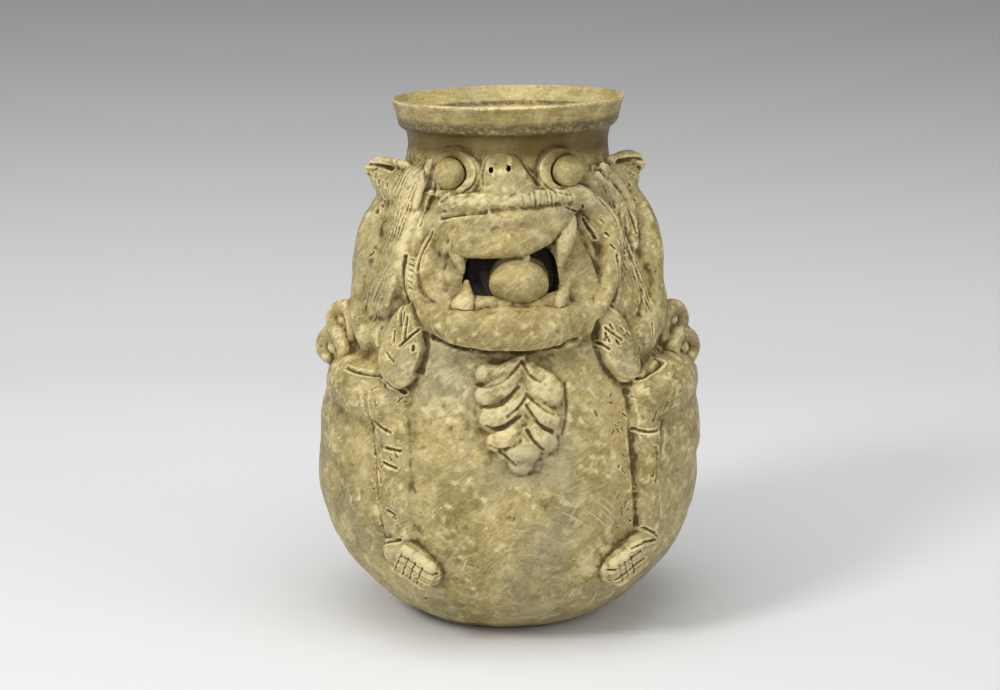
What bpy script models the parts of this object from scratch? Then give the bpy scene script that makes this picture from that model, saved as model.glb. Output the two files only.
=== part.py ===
"""A potter's lion jar: a turned jar with a lion's face, limbs, wings and beard luted onto its wall.

The jar stands on +Z with the centre of its flat underside at the origin, and the lion faces -Y.
The jar's own sizes are in metres and its angles in degrees. The lion is laid out in steps, of
which LION_STEPS reach from the underside to the neck, so that it grows with the jar. Its clay is
placed as a potter would place it: by how far it sits to the side of the middle (or by its azimuth
round the jar), by its height, and by how far its own middle stands out of the turned wall.
"""

import math

import bmesh
import bpy
from mathutils import Vector

# The turned jar
JAR_HEIGHT = 0.280
BASE_RADIUS = 0.042
BELLY_RADIUS = 0.1025
BELLY_HEIGHT = 0.083
NECK_RADIUS = 0.0529
NECK_BELOW_RIM = 0.023
RIM_RADIUS = 0.0617
RIM_BAND_HEIGHT = 0.0160
RIM_BEAD_HEIGHT = 0.0030
RIM_BEAD_OVERHANG = 0.0012
RIM_BAND_TAPER = 0.0020
BAND_FOOT_ROUND = 0.0045
EDGE_ROUND = 0.0006
RIM_SLOPE = 1.2

# The hollow
WALL = 0.0065
FLOOR_THICKNESS = 0.0090
LIP_THICKNESS = 0.0032
DISH_DEPTH = 0.0122
DISH_TAPER = 0.0045
SEAT_WIDTH = 0.0030

# How the lower belly curves in to the base, and how the shoulder falls to the neck
LOWER_BELLY_BEND = 2.2
LOWER_BELLY_SWELL = 1.3
SHOULDER_POWER_LOW = 2.0
SHOULDER_POWER_HIGH = 1.5

# The lion: steps from the underside to the neck
LION_STEPS = 257
FACE_MIDDLE = 3.5
FACE_HEIGHT = 197
FACE_RADIUS = 52
MOUTH_MIDDLE = 1.4
MOUTH_HEIGHT = 195.8
MOUTH_HALF_WIDTH = 23.8
MOUTH_HALF_HEIGHT = 15.6
BALL_MIDDLE = 5.5
BALL_HEIGHT = 195
BALL_HALF_WIDTH = 15
BALL_HALF_HEIGHT = 12
BALL_STAND_OUT = 8.5
EYES_BELOW_NECK = 10.7
EYES_MIDDLE = 0.3
EYE_TO_MIDDLE = 30.3
EYEBALL_RADIUS = 8.2
EYEBALL_STAND_OUT = 5.6
EYE_RING_RADIUS = 9.8
EYE_RING_SHIFT = 2.1
EYE_RING_WIDTH = 3.1
NOSTRIL_RADIUS = 1.7
# each nostril's distance to the side and above the eyes' middles
NOSTRILS = (-8.6, 1.7), (0.3, 2.5)

# How deep the gap between the jaws and the nostrils go into the wall
MOUTH_DEPTH = 0.0034
MOUTH_LIP = 0.0085
NOSTRIL_DEPTH = 0.0020

# The mesh
CLAY_GRAIN = 0.0013
LEVELLING = 0.003
BLEND_PASSES = 1
OUTSIDE_TRIANGLES = 7400
TURNING_STEPS = 96
HOLLOW_STEPS = 36
SHARP_ANGLE = 50

CLAY_COLOUR = (0.38, 0.33, 0.20, 1.0)
CLAY_ROUGHNESS = 0.55

LEFT = -1
RIGHT = 1

NECK_HEIGHT = JAR_HEIGHT - NECK_BELOW_RIM
STEP = NECK_HEIGHT / LION_STEPS
EYE_HEIGHT = LION_STEPS - EYES_BELOW_NECK


def clear_scene():
    for old in list(bpy.data.objects):
        bpy.data.objects.remove(old, do_unlink=True)


def clay_material():
    material = bpy.data.materials.new("celadon_glazed_clay")
    material.use_nodes = True
    shader = material.node_tree.nodes["Principled BSDF"]
    shader.inputs["Base Color"].default_value = CLAY_COLOUR
    shader.inputs["Roughness"].default_value = CLAY_ROUGHNESS
    shader.inputs["Metallic"].default_value = 0.0
    return material


# The turned wall

def wall_radius(height):
    """Outer radius of the turned wall, from the underside up to the neck."""
    if height <= BELLY_HEIGHT:
        share = max(0.0, height / BELLY_HEIGHT)
        rise = 1.0 - (1.0 - share) ** LOWER_BELLY_BEND
        return BASE_RADIUS + (BELLY_RADIUS - BASE_RADIUS) * rise ** (1.0 / LOWER_BELLY_SWELL)
    share = min(1.0, (height - BELLY_HEIGHT) / (NECK_HEIGHT - BELLY_HEIGHT))
    power = SHOULDER_POWER_LOW + (SHOULDER_POWER_HIGH - SHOULDER_POWER_LOW) * share
    fall = max(0.0, math.cos(math.pi / 2 * share)) ** power
    return NECK_RADIUS + (BELLY_RADIUS - NECK_RADIUS) * fall


def rim_lift(x, height):
    """The hand-turned rim slopes a little: its right side is higher than its left."""
    ramp = (height - (NECK_HEIGHT - RIM_BAND_HEIGHT)) / RIM_BAND_HEIGHT
    ramp = min(1.0, max(0.0, ramp))
    return x * math.tan(math.radians(RIM_SLOPE)) * ramp


def outer_profile():
    """(radius, height) points of the solid jar's outside, from the axis below to the axis above."""
    band_foot = JAR_HEIGHT - RIM_BAND_HEIGHT
    band_radius = RIM_RADIUS - RIM_BEAD_OVERHANG
    band_low_radius = band_radius - RIM_BAND_TAPER
    # it starts below the underside, which is then cut level
    points = [(0.0, -LEVELLING), (BASE_RADIUS, -LEVELLING)]
    wall_steps = 44
    crowding = 1.25
    for i in range(wall_steps + 1):
        # stations crowd towards the base, where the wall curves most
        height = NECK_HEIGHT * (i / wall_steps) ** crowding
        points.append((wall_radius(height), height))
    round_steps = 4
    for i in range(round_steps + 1):
        turn = math.pi / 2 * i / round_steps
        radius = band_low_radius - BAND_FOOT_ROUND * (1.0 - math.sin(turn))
        points.append((radius, band_foot + BAND_FOOT_ROUND * (1.0 - math.cos(turn))))
    points.append((band_radius, JAR_HEIGHT - RIM_BEAD_HEIGHT))
    points.append((RIM_RADIUS, JAR_HEIGHT - RIM_BEAD_HEIGHT / 2))
    points.append((RIM_RADIUS, JAR_HEIGHT - EDGE_ROUND))
    points.append((RIM_RADIUS - EDGE_ROUND, JAR_HEIGHT))
    points.append((0.0, JAR_HEIGHT))
    return points


def inner_profile():
    """(radius, height) points of the hollow, from the axis at the floor up past the rim."""
    lip_radius = RIM_RADIUS - LIP_THICKNESS
    dish_floor = JAR_HEIGHT - DISH_DEPTH
    throat = NECK_RADIUS - WALL
    corner = FLOOR_THICKNESS
    points = [(0.0, FLOOR_THICKNESS)]
    wall_steps = 16
    crowding = 1.5
    for i in range(wall_steps + 1):
        # stations crowd towards the floor
        height = FLOOR_THICKNESS + (NECK_HEIGHT - FLOOR_THICKNESS) * (i / wall_steps) ** crowding
        inside = wall_radius(height) - WALL
        # the floor meets the wall in a rounded corner
        filled = max(0.0, 1.0 - (height - FLOOR_THICKNESS) / (2 * corner))
        points.append((inside - corner * filled ** 2, height))
    points.append((throat, dish_floor - EDGE_ROUND))
    points.append((throat + SEAT_WIDTH, dish_floor))
    points.append((lip_radius - DISH_TAPER, dish_floor + SEAT_WIDTH))
    points.append((lip_radius, JAR_HEIGHT - EDGE_ROUND))
    above_rim = JAR_HEIGHT + DISH_TAPER
    points.append((lip_radius + EDGE_ROUND, above_rim))
    points.append((0.0, above_rim))
    return points


def add_turning(mesh, profile, steps):
    """Spins a profile that starts and ends on the axis into a closed shape."""
    chain = [mesh.verts.new((radius, 0.0, height)) for radius, height in profile]
    edges = [mesh.edges.new(pair) for pair in zip(chain, chain[1:])]
    bmesh.ops.spin(
        mesh, geom=chain + edges, cent=(0, 0, 0), axis=(0, 0, 1),
        angle=2 * math.pi, steps=steps, use_merge=True)
    bmesh.ops.remove_doubles(mesh, verts=mesh.verts, dist=1e-6)
    if mesh.calc_volume(signed=True) < 0:
        bmesh.ops.reverse_faces(mesh, faces=mesh.faces)
    for vertex in mesh.verts:
        vertex.co.z += rim_lift(vertex.co.x, vertex.co.z)


# Placing clay on the wall, in the lion's steps

def around(azimuth, height, out):
    """A point by its angle round the jar (0 in front, 90 at +X), its height and how far it stands out."""
    reach = wall_radius(height * STEP) + out * STEP
    angle = math.radians(azimuth)
    return Vector((reach * math.sin(angle), -reach * math.cos(angle), height * STEP))


def front(x, height, out):
    """A point by its place in the front view, on the lion's side of the jar."""
    reach = wall_radius(height * STEP) + out * STEP
    side = x * STEP
    return Vector((side, -math.sqrt(max(0.0, reach * reach - side * side)), height * STEP))


def front_azimuth(x, height):
    """The azimuth of a place on the wall that the front view shows at x."""
    return math.degrees(math.asin(min(1.0, x * STEP / wall_radius(height * STEP))))


def smooth_path(stations, steps):
    """Catmull-Rom through stations of (point, radius)."""
    ends = [stations[0], *stations, stations[-1]]
    found = []
    for p, q, r, s in zip(ends, ends[1:], ends[2:], ends[3:]):
        for step in range(steps):
            t = step / steps
            found.append(tuple(
                0.5 * ((2 * b) + (c - a) * t + (2 * a - 5 * b + 4 * c - d) * t * t
                       + (3 * b - a - 3 * c + d) * t ** 3)
                for a, b, c, d in zip(p, q, r, s)))
    found.append(stations[-1])
    return found


def squared(turn, square):
    """A unit outline's point at an angle. square above 2 fills its corners."""
    side, up = math.cos(turn), math.sin(turn)
    fill = (abs(side) ** square + abs(up) ** square) ** (-1.0 / square)
    return side * fill, up * fill


def add_roll(mesh, stations, flat=1.0, steps=4, sides=12, facing=None, square=2.0, end=1.0):
    """A rolled sausage of clay through stations of (point, radius in steps), round at both ends.

    flat is its thickness out of the wall as a share of its width, and facing is the direction of
    that thickness where it isn't away from the jar's axis. end is how far the ends bulge.
    """
    path = smooth_path(stations, steps)
    rings = []
    for i, (point, radius) in enumerate(path):
        along = (path[min(len(path) - 1, i + 1)][0] - path[max(0, i - 1)][0]).normalized()
        away = Vector(facing) if facing else Vector((point.x, point.y, 0.0))
        away = (away - along * away.dot(along)).normalized()
        rings.append((point, max(radius, 0.3) * STEP, along, away))
    caps = [math.radians(turn) for turn in (90, 60, 30)]
    first = [(rings[0], -turn) for turn in caps]
    last = [(rings[-1], turn) for turn in reversed(caps)]
    rows = first + [(ring, 0.0) for ring in rings] + last
    made = bmesh.ops.create_uvsphere(mesh, u_segments=sides, v_segments=len(rows) - 1, radius=1.0)
    for vertex in made["verts"]:
        row = round(math.acos(max(-1.0, min(1.0, vertex.co.z))) / math.pi * (len(rows) - 1))
        (point, radius, along, away), turn = rows[row]
        side, up = squared(math.atan2(vertex.co.y, vertex.co.x), square)
        shrink = math.cos(turn)
        vertex.co = (
            point + along * radius * end * math.sin(turn)
            + along.cross(away) * radius * side * shrink
            + away * radius * flat * up * shrink)


def add_pad(
        mesh, azimuth, height, out, half_width, half_height, half_depth, roll=0.0, square=2.0, dome=0.6,
        subdivisions=3):
    """A pressed pad of clay wrapped round the wall.

    roll turns it in the wall's own plane. dome below 1 flattens its face and steepens its edge.
    """
    made = bmesh.ops.create_icosphere(mesh, subdivisions=subdivisions, radius=1.0)
    reach = wall_radius(height * STEP) / STEP + out
    turn = math.radians(roll)
    for vertex in made["verts"]:
        u, v, w = vertex.co
        spread = math.hypot(u, v)
        side, up = squared(math.atan2(v, u), square)
        u, v = side * spread * half_width, up * spread * half_height
        side = u * math.cos(turn) - v * math.sin(turn)
        up = u * math.sin(turn) + v * math.cos(turn)
        proud = out + math.copysign(abs(w) ** dome, w) * half_depth
        vertex.co = around(azimuth + math.degrees(side / reach), height + up, proud)


def add_ball(mesh, centre, radii):
    made = bmesh.ops.create_uvsphere(mesh, u_segments=20, v_segments=12, radius=STEP)
    for vertex in made["verts"]:
        vertex.co = centre + Vector(a * b for a, b in zip(vertex.co, radii))


def rolls(mesh, place, tables, **shape):
    """One roll of clay for each table of (side, height, out, radius)."""
    for table in tables:
        add_roll(mesh, [(place(a, height, out), radius) for a, height, out, radius in table], **shape)


# The lion's face

def add_face(mesh):
    """The dished mask with its raised edge, and the bands of brow, muzzle, lip and jaw across it."""
    azimuth = front_azimuth(FACE_MIDDLE, FACE_HEIGHT)
    add_pad(mesh, azimuth, FACE_HEIGHT, -8, FACE_RADIUS, FACE_RADIUS * 0.85, 12, square=2.3, subdivisions=4)
    add_pad(mesh, -3, 226, 0, 38, 14, 7, square=2.6)
    for side in (LEFT, RIGHT):
        x = MOUTH_MIDDLE + side * 31
        add_pad(mesh, front_azimuth(x, 196), 196, 0, 11, 22, 7, roll=side * 14)
    left_edge = (
        (-29, 231, 4, 3), (-36.5, 220, 4.5, 3.6), (-43.5, 211, 4.5, 3.6), (-47, 197, 4.5, 3.5),
        (-44, 183, 4.5, 3.6), (-38.5, 173.5, 3.6, 3.6), (-30, 166, 1.5, 3.2))
    right_edge = (
        (31, 236, 3.5, 4), (39, 231.5, 4, 5), (48, 221.5, 4, 5.6), (53, 207, 3.6, 5.8), (51.5, 193, 3.2, 5.6),
        (46, 180, 2.6, 5.2), (38.5, 170.5, 1.5, 4.6), (29, 163.5, -1, 3.2))
    brow = (
        (-40, 222, 2.5, 4), (-33, 228.5, 5.5, 5), (-18, 231.8, 7.5, 6.2), (2, 233.4, 8, 6.4),
        (22, 234.6, 7.5, 6), (34, 234.5, 5.5, 5), (43, 230.5, 4, 4.2))
    muzzle = (-35, 221, 3.5, 5), (-14, 222, 7.5, 6), (6, 223, 8, 6), (26, 226, 5.5, 5)
    upper_lip = (
        (-37, 214.5, 3.5, 5), (-29, 215, 7, 6.2), (-19, 214.2, 10.5, 6.9), (-6, 213.8, 12.2, 7.1),
        (8, 214.8, 12.2, 7), (18, 217.5, 10.5, 6), (28, 221.5, 7.5, 5))
    jaw = (
        (-44, 178, 1.5, 6.4), (-33, 172.5, 5, 9.4), (-17, 170, 8.5, 11.2), (2, 170.2, 10, 11.6),
        (18, 171, 9, 11.4), (33, 174, 5, 9.4), (45, 181, 1.5, 7))
    lower_edge = (-17, 176.8, 12, 4), (-6, 178.6, 13.5, 4), (8, 179, 13.5, 4), (22, 178, 12, 4)
    rolls(mesh, front, (left_edge, right_edge, brow, muzzle, upper_lip, jaw, lower_edge), flat=0.9)


def add_fangs(mesh):
    upper_left = (-27, 213, 6, 5.5), (-25.5, 206, 10, 4.2), (-23.8, 199, 11.5, 2.5)
    upper_right = (26.4, 223, 6, 5.5), (27.4, 214, 10, 4.8), (27.2, 208, 11.5, 3.2), (26.8, 202.6, 12, 1.7)
    lower_left = (-20.5, 176, 6, 9), (-21, 184, 10, 6), (-21, 190, 12, 3.4), (-21, 195.6, 13, 1.5)
    lower_right = (24, 178, 7, 6), (26.6, 185.5, 10, 3.6), (29, 191.5, 11, 2.6), (30.6, 197, 11.5, 1.4)
    rolls(mesh, front, (upper_left, upper_right, lower_left, lower_right), sides=10)


def add_nose(mesh):
    """A bell-shaped snout under the neck, with a rim round each nostril."""
    snout = (
        (-1, EYE_HEIGHT - 10, 1.5, 16), (-2, EYE_HEIGHT - 3, 1.5, 14), (-3, EYE_HEIGHT + 4, 1, 11.6),
        (-3.4, EYE_HEIGHT + 10, 0, 8.6))
    rolls(mesh, front, [snout], flat=0.66)
    for x, above_eyes in NOSTRILS:
        height = EYE_HEIGHT + above_eyes
        rim = (x, height - 4, 5.4, 2.8), (x, height - 0.5, 5.6, 3.8), (x, height + 3, 4.4, 3.4)
        rolls(mesh, front, [rim], sides=10)


def add_eye(mesh, side):
    """A ball of clay in a flat ring that opens outwards and trails off under it."""
    x = EYES_MIDDLE + side * EYE_TO_MIDDLE
    add_ball(mesh, front(x, EYE_HEIGHT, EYEBALL_STAND_OUT), (EYEBALL_RADIUS,) * 3)
    ring_x = x - side * EYE_RING_SHIFT
    ring = []
    for turn in range(110, -91, -25):
        a = math.radians(turn)
        width = EYE_RING_WIDTH * (0.75 + 0.25 * math.cos(a))
        ring.append((
            ring_x - side * EYE_RING_RADIUS * math.cos(a),
            EYE_HEIGHT + EYE_RING_RADIUS * math.sin(a), 2, width))
    ring.append((ring_x + side * 7, EYE_HEIGHT - EYE_RING_RADIUS - 1, 2.5, 1.9))
    ring.append((ring_x + side * 13, EYE_HEIGHT - EYE_RING_RADIUS - 1.5, 2.5, 1.4))
    rolls(mesh, front, [ring], flat=1.3, steps=2, sides=8, square=3)


def add_ear(mesh, side):
    """A blunt cupped flap that stands out sideways."""
    flaps = {
        LEFT: ((-64, 233, 0, 11), (-76, 236, 5, 10.5), (-84, 239, 12, 7.5), (-85, 240, 15, 5)),
        RIGHT: ((68, 236, 0, 11), (78, 239, 5.5, 10), (84, 242, 9.5, 7.4), (85.5, 243, 13, 5)),
    }
    top_edges = {
        LEFT: ((-67, 245.5, 3, 2.4), (-76, 246.5, 8, 2.8), (-83, 245.5, 15, 3), (-86, 241, 18, 3.2)),
        RIGHT: ((71, 248, 3, 2.8), (78, 249.5, 8, 3.1), (83.5, 248.5, 13, 3.2), (86, 244, 15.5, 3.2)),
    }
    rolls(mesh, around, [flaps[side]], flat=0.6, facing=(0, -1, 0.25), square=2.6, end=0.6)
    rolls(mesh, around, [top_edges[side]], sides=8)


def add_mane(mesh, side):
    """The sheet of hair that hangs from the ear beside the face, with locks along it."""
    locks = {
        LEFT: [((-45, 218, 7, 3), (-46, 205, 8.5, 4.8), (-47, 190, 8.5, 5), (-47.5, 176, 8, 4))],
        RIGHT: [
            ((52, 242, 4, 3), (58, 232, 7, 4.4), (61, 220, 8, 3)),
            ((59, 245, 4, 3.4), (65, 233, 8, 4.4), (66, 221, 9.5, 4.4), (60, 206, 9, 3.4)),
        ],
    }
    add_pad(mesh, side * 63, 222, -2, 23, 24, 10, roll=side * -6, square=2.4, subdivisions=4)
    add_pad(mesh, side * 60, 192, -3, 22, 28, 12, roll=side * -4, square=2.4, subdivisions=4)
    rolls(mesh, around, locks[side], flat=0.8, sides=8)


# The limbs

def add_arm(mesh, side):
    """An upper arm down the flank, a short forearm and a mitt-like paw held up at the chest."""
    upper = {
        LEFT: ((-79, 226, 0.5, 10.5), (-78, 212, 2, 13.5), (-76, 198, 0.5, 14.5), (-72, 182, -3.5, 14.5),
               (-66, 169, -4, 13.5), (-59, 161, -4, 12)),
        RIGHT: ((78, 228, 1.5, 11), (77, 215, 3.5, 13.6), (76, 202, 2.5, 14.5), (73, 186, -2.5, 14.5),
                (68, 174, -3, 14), (62, 167, -2.5, 13)),
    }
    fore = {
        LEFT: ((-62, 163, -6, 12), (-50, 161, -5.5, 11.5), (-42, 159, -5, 10.5)),
        RIGHT: ((66, 168, -4, 13), (57, 162, -3, 12.5), (47, 158, -3, 11.5)),
    }
    paw_azimuth, paw_height, paw_half_height = {LEFT: (-36.8, 158.5, 21), RIGHT: (40, 158.8, 19)}[side]
    rolls(mesh, around, (upper[side], fore[side]))
    add_pad(mesh, paw_azimuth, paw_height, 1.5, 13, paw_half_height - 1, 7, roll=5)
    add_pad(
        mesh, paw_azimuth, paw_height, 5, 13, paw_half_height, 6, roll=5, square=2.2, dome=0.55,
        subdivisions=4)
    for finger in range(4):
        sideways = finger - 1.5
        azimuth = paw_azimuth + side * 2.5 + sideways * 4
        top = paw_height + paw_half_height - 6.5 - 1.4 * abs(sideways)
        rolls(mesh, around, [((azimuth, top - 10, 9, 2.6), (azimuth, top, 8, 3))], sides=8)


def add_leg(mesh, side):
    """A haunch swelling from the belly, a raised knee, a shin down to the foot and its toes."""
    thigh = {
        LEFT: ((-80, 131, -8.5, 14), (-66, 132, -6, 16.5), (-53, 131, -5, 17), (-43, 127, -5, 14)),
        RIGHT: ((84, 130, -5.5, 15), (70, 132, -5, 17.5), (57, 131, -3.5, 17.5), (48, 128, -3.5, 14)),
    }
    shin = {
        LEFT: [((-41, 134, -2.5, 11), (-37, 114, -2, 11), (-34.5, 92, -2, 10.5), (-33.5, 66, -2, 9.5))],
        RIGHT: [
            ((47, 135, 0, 10.5), (44.5, 120, 0.5, 9.6)),
            ((44, 113, 2, 8.2), (43.5, 95, 1.5, 7.6), (44, 80, 1, 7.4), (44.5, 64, 1, 7.2)),
        ],
    }
    haunch_azimuth, haunch_out = {LEFT: (-64, 4), RIGHT: (68, 6)}[side]
    foot_azimuth = {LEFT: -30, RIGHT: 39.5}[side]
    # a shallow cap of a much deeper ball, so that its edge runs out into the belly
    depth = 20
    add_pad(mesh, haunch_azimuth, 120, -depth, 62, 52, depth + haunch_out, dome=1, subdivisions=4)
    rolls(mesh, around, [thigh[side]], flat=0.85)
    rolls(mesh, around, shin[side], flat={LEFT: 0.6, RIGHT: 0.95}[side])
    foot_height, foot_roll = 49, math.radians(side * 35)
    add_pad(mesh, foot_azimuth, foot_height, 1, 17.5, 11.5, 8.5, roll=side * 35, square=2.5, dome=0.7)
    for toe in range(4):
        across = (toe - 1.5) * 5
        ends = []
        for along in (4, -12.5 + 1.2 * abs(toe - 1.5)):
            sideways = side * along * math.cos(foot_roll) - across * math.sin(foot_roll)
            up = side * along * math.sin(foot_roll) + across * math.cos(foot_roll)
            reach = wall_radius((foot_height + up) * STEP) / STEP
            ends.append((foot_azimuth + math.degrees(sideways / reach), foot_height + up, 8.4, 2.9))
        rolls(mesh, around, [ends], sides=8)


def add_wing(mesh, side):
    """Two curled feather tips behind the elbow, with plainer feathers swept back from them."""
    add_pad(mesh, side * 76, 164, 5, 8, 7, 8, dome=0.9)
    add_pad(mesh, side * 77, 149, 4, 9, 8, 9, dome=0.9)
    upper = (
        (70, 158, 1, 3.8), (71, 165, 4.5, 4.4), (75.5, 168.6, 7.5, 4.5), (80.5, 166.5, 9.5, 4.4),
        (82, 161.5, 9, 4.1), (78, 159.5, 7, 3.2))
    lower = (
        (70, 143, 0, 4.2), (71, 150, 3.5, 4.9), (76, 154.2, 6.5, 5.1), (82, 151.8, 8.5, 5),
        (84, 145.8, 8, 4.7), (79, 143.6, 5.5, 3.6))
    for curl in (upper, lower):
        rolls(mesh, around, [[(side * a, z, out, radius) for a, z, out, radius in curl]], sides=10)
    feathers = []
    for index in range(4):
        rise = 7.5 * index
        feathers.append((
            (side * 80, 144 + rise, 1.5, 5.4),
            (side * 97, 142 + rise * 1.1, 2, 5.4),
            (side * (118 - 5 * index), 148 + rise * 1.3, 0.5, 4)))
    rolls(mesh, around, feathers, flat=0.8, sides=10)


def add_beard(mesh):
    """A leaf-shaped tuft under the jaw, with lobes either side of a midrib."""
    add_pad(mesh, 4, 134, -2.5, 21.5, 25, 5.6, square=2.4)
    add_pad(mesh, 4.5, 115, -2.5, 14, 15, 5.2)
    lobes = (
        ((5, 149, 1, 4), (-2, 143, 2, 5.2), (-10, 139, 1.2, 5.2)),
        ((6, 137, 1, 4), (-1, 131, 2, 5.2), (-8, 127.5, 1.2, 5)),
        ((6, 124, 1, 4), (0, 118.5, 2, 5), (-4.5, 117, 1.2, 4.6)),
        ((11, 150, 1, 5), (16, 146, 2, 8), (20.5, 141, 1.2, 8)),
        ((11, 135, 1, 4), (17, 128.5, 2, 4.8), (22, 125.5, 1.2, 4.8)),
        ((11, 125, 1, 4), (16, 118.5, 2, 4.8), (20, 116, 1.2, 4.6)),
        ((7.5, 118, 0.8, 5), (8, 111, 1.2, 8), (7, 106, 0.4, 6)))
    rolls(mesh, front, lobes, flat=0.62, sides=10)


def add_back(mesh):
    """The plain back: a spine that runs down to a curled tail."""
    spine = [(180, height, 0.5, 5) for height in (240, 200, 160, 120, 84)]
    for turn in range(0, 271, 45):
        a = math.radians(turn)
        spine.append((180 - 8 * (1 - math.cos(a)), 66 - 13 * math.sin(a), 1, 4.8 - turn / 180))
    rolls(mesh, around, [spine], flat=0.85)


# Putting it together

def new_object(name, mesh_builder):
    mesh = bmesh.new()
    mesh_builder(mesh)
    data = bpy.data.meshes.new(name)
    mesh.to_mesh(data)
    mesh.free()
    data.shade_smooth()
    made = bpy.data.objects.new(name, data)
    bpy.context.scene.collection.objects.link(made)
    return made


def helper(name, mesh_builder):
    made = new_object(name, mesh_builder)
    made.hide_render = True
    made.display_type = "WIRE"
    return made


def build_clay(mesh):
    """The solid jar and all the clay on it, as closed shapes that still overlap."""
    add_turning(mesh, outer_profile(), TURNING_STEPS)
    add_face(mesh)
    add_fangs(mesh)
    add_nose(mesh)
    add_beard(mesh)
    add_back(mesh)
    for side in (LEFT, RIGHT):
        add_eye(mesh, side)
        add_ear(mesh, side)
        add_mane(mesh, side)
        add_arm(mesh, side)
        add_leg(mesh, side)
        add_wing(mesh, side)


def build_openings(mesh):
    """The gap between the jaws, a pocket that stops in the jar's wall, and the two nostrils."""
    floor, lip = -MOUTH_DEPTH / STEP, MOUTH_LIP / STEP
    add_pad(
        mesh, front_azimuth(MOUTH_MIDDLE, MOUTH_HEIGHT), MOUTH_HEIGHT, (floor + lip) / 2,
        MOUTH_HALF_WIDTH, MOUTH_HALF_HEIGHT, (lip - floor) / 2, roll=2.5, square=3, dome=0.3)
    depth = -NOSTRIL_DEPTH / STEP
    for x, above_eyes in NOSTRILS:
        height = EYE_HEIGHT + above_eyes
        hole = [(x, height, depth, NOSTRIL_RADIUS), (x, height, 20, NOSTRIL_RADIUS)]
        rolls(mesh, front, [hole], facing=(0, 0, 1), end=0.3, sides=8)


def build_ball(mesh):
    """The ball of clay held between the jaws."""
    centre = front(BALL_MIDDLE, BALL_HEIGHT, BALL_STAND_OUT)
    add_ball(mesh, centre, (BALL_HALF_WIDTH, BALL_HALF_WIDTH * 0.8, BALL_HALF_HEIGHT))


def build_hollow(mesh):
    add_turning(mesh, inner_profile(), HOLLOW_STEPS)


def build_level(mesh):
    """A block whose top is the level that the jar stands on."""
    made = bmesh.ops.create_cube(mesh, size=4 * BASE_RADIUS)
    bmesh.ops.translate(mesh, verts=made["verts"], vec=(0, 0, -2 * BASE_RADIUS))


def add_boolean(target, name, other, operation):
    modifier = target.modifiers.new(name, "BOOLEAN")
    modifier.operation = operation
    modifier.solver = "EXACT"
    modifier.object = other


def merge_clay():
    """One skin over all the clay, its joins smoothed as wet clay is."""
    clay = helper("clay_before_joining", build_clay)
    grain = clay.modifiers.new("luted_clay", "REMESH")
    grain.mode = "VOXEL"
    grain.voxel_size = CLAY_GRAIN
    blend = clay.modifiers.new("smoothed_joins", "SMOOTH")
    blend.factor = 0.5
    blend.iterations = BLEND_PASSES
    bpy.context.view_layer.update()
    joined = clay.evaluated_get(bpy.context.evaluated_depsgraph_get())
    skin = bpy.data.meshes.new_from_object(joined)
    bpy.data.objects.remove(clay, do_unlink=True)
    return skin


def build_jar():
    skin = merge_clay()
    skin.name = "lion_jar"
    skin.materials.append(clay_material())
    skin.shade_smooth()
    skin.set_sharp_from_angle(angle=math.radians(SHARP_ANGLE))
    jar = bpy.data.objects.new("lion_jar", skin)
    bpy.context.scene.collection.objects.link(jar)
    triangles = sum(len(face.vertices) - 2 for face in skin.polygons)
    facets = jar.modifiers.new("facets", "DECIMATE")
    facets.ratio = min(1.0, OUTSIDE_TRIANGLES / triangles)
    add_boolean(jar, "level_underside", helper("level_cutter", build_level), "DIFFERENCE")
    add_boolean(jar, "mouth_and_nostrils", helper("openings_cutter", build_openings), "DIFFERENCE")
    add_boolean(jar, "mouth_ball", helper("mouth_ball_shape", build_ball), "UNION")
    add_boolean(jar, "hollow", helper("hollow_cutter", build_hollow), "DIFFERENCE")
    return jar


clear_scene()
build_jar()
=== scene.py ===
"""The looks of a potter's lion jar: soft clay rolled, pressed and scored on a turned wall, then glazed.

Sizes are in millimetres and angles in degrees until a mesh is made. The lion faces -Y. A place on
the wall is given by its azimuth round the jar (0 in front, 90 at +X) or by its distance to the side
of the middle, then by its height. A roll of clay is a table of stations, each with such a place, how
far it stands out of the turned wall, and the roll's radius there.
"""

from __future__ import annotations

import logging
import math
from dataclasses import dataclass, field
from enum import Enum
from typing import Callable, Sequence

import bmesh
import bpy
import numpy as np
from mathutils import Matrix, Vector

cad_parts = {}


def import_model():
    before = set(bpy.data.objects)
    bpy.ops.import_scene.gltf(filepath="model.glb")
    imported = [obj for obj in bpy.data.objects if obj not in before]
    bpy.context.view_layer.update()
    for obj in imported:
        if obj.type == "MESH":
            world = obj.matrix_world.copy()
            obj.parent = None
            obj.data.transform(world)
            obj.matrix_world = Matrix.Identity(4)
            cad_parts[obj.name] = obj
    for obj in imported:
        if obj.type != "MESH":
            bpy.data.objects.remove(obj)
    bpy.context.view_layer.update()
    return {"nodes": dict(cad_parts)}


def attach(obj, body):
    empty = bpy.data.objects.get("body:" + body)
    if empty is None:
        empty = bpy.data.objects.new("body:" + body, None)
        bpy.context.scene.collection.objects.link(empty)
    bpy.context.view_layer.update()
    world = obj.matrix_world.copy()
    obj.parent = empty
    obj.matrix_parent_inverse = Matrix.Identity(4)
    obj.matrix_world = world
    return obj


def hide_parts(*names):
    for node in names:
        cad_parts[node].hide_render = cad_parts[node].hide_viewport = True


LOG = logging.getLogger("lion_jar")
MM = 0.001
WAVE_LENGTHS = (0.6, 1.6)
WAVE_HEIGHT = 0.6

Place = tuple[float, float]
Path = tuple[Place, ...]
Roll = tuple[tuple[float, float, float, float], ...]
Patch = tuple[float, float, float, float, float]
Pad = tuple[float, float, float, float, float, float]
Colour = tuple[float, float, float, float]


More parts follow.
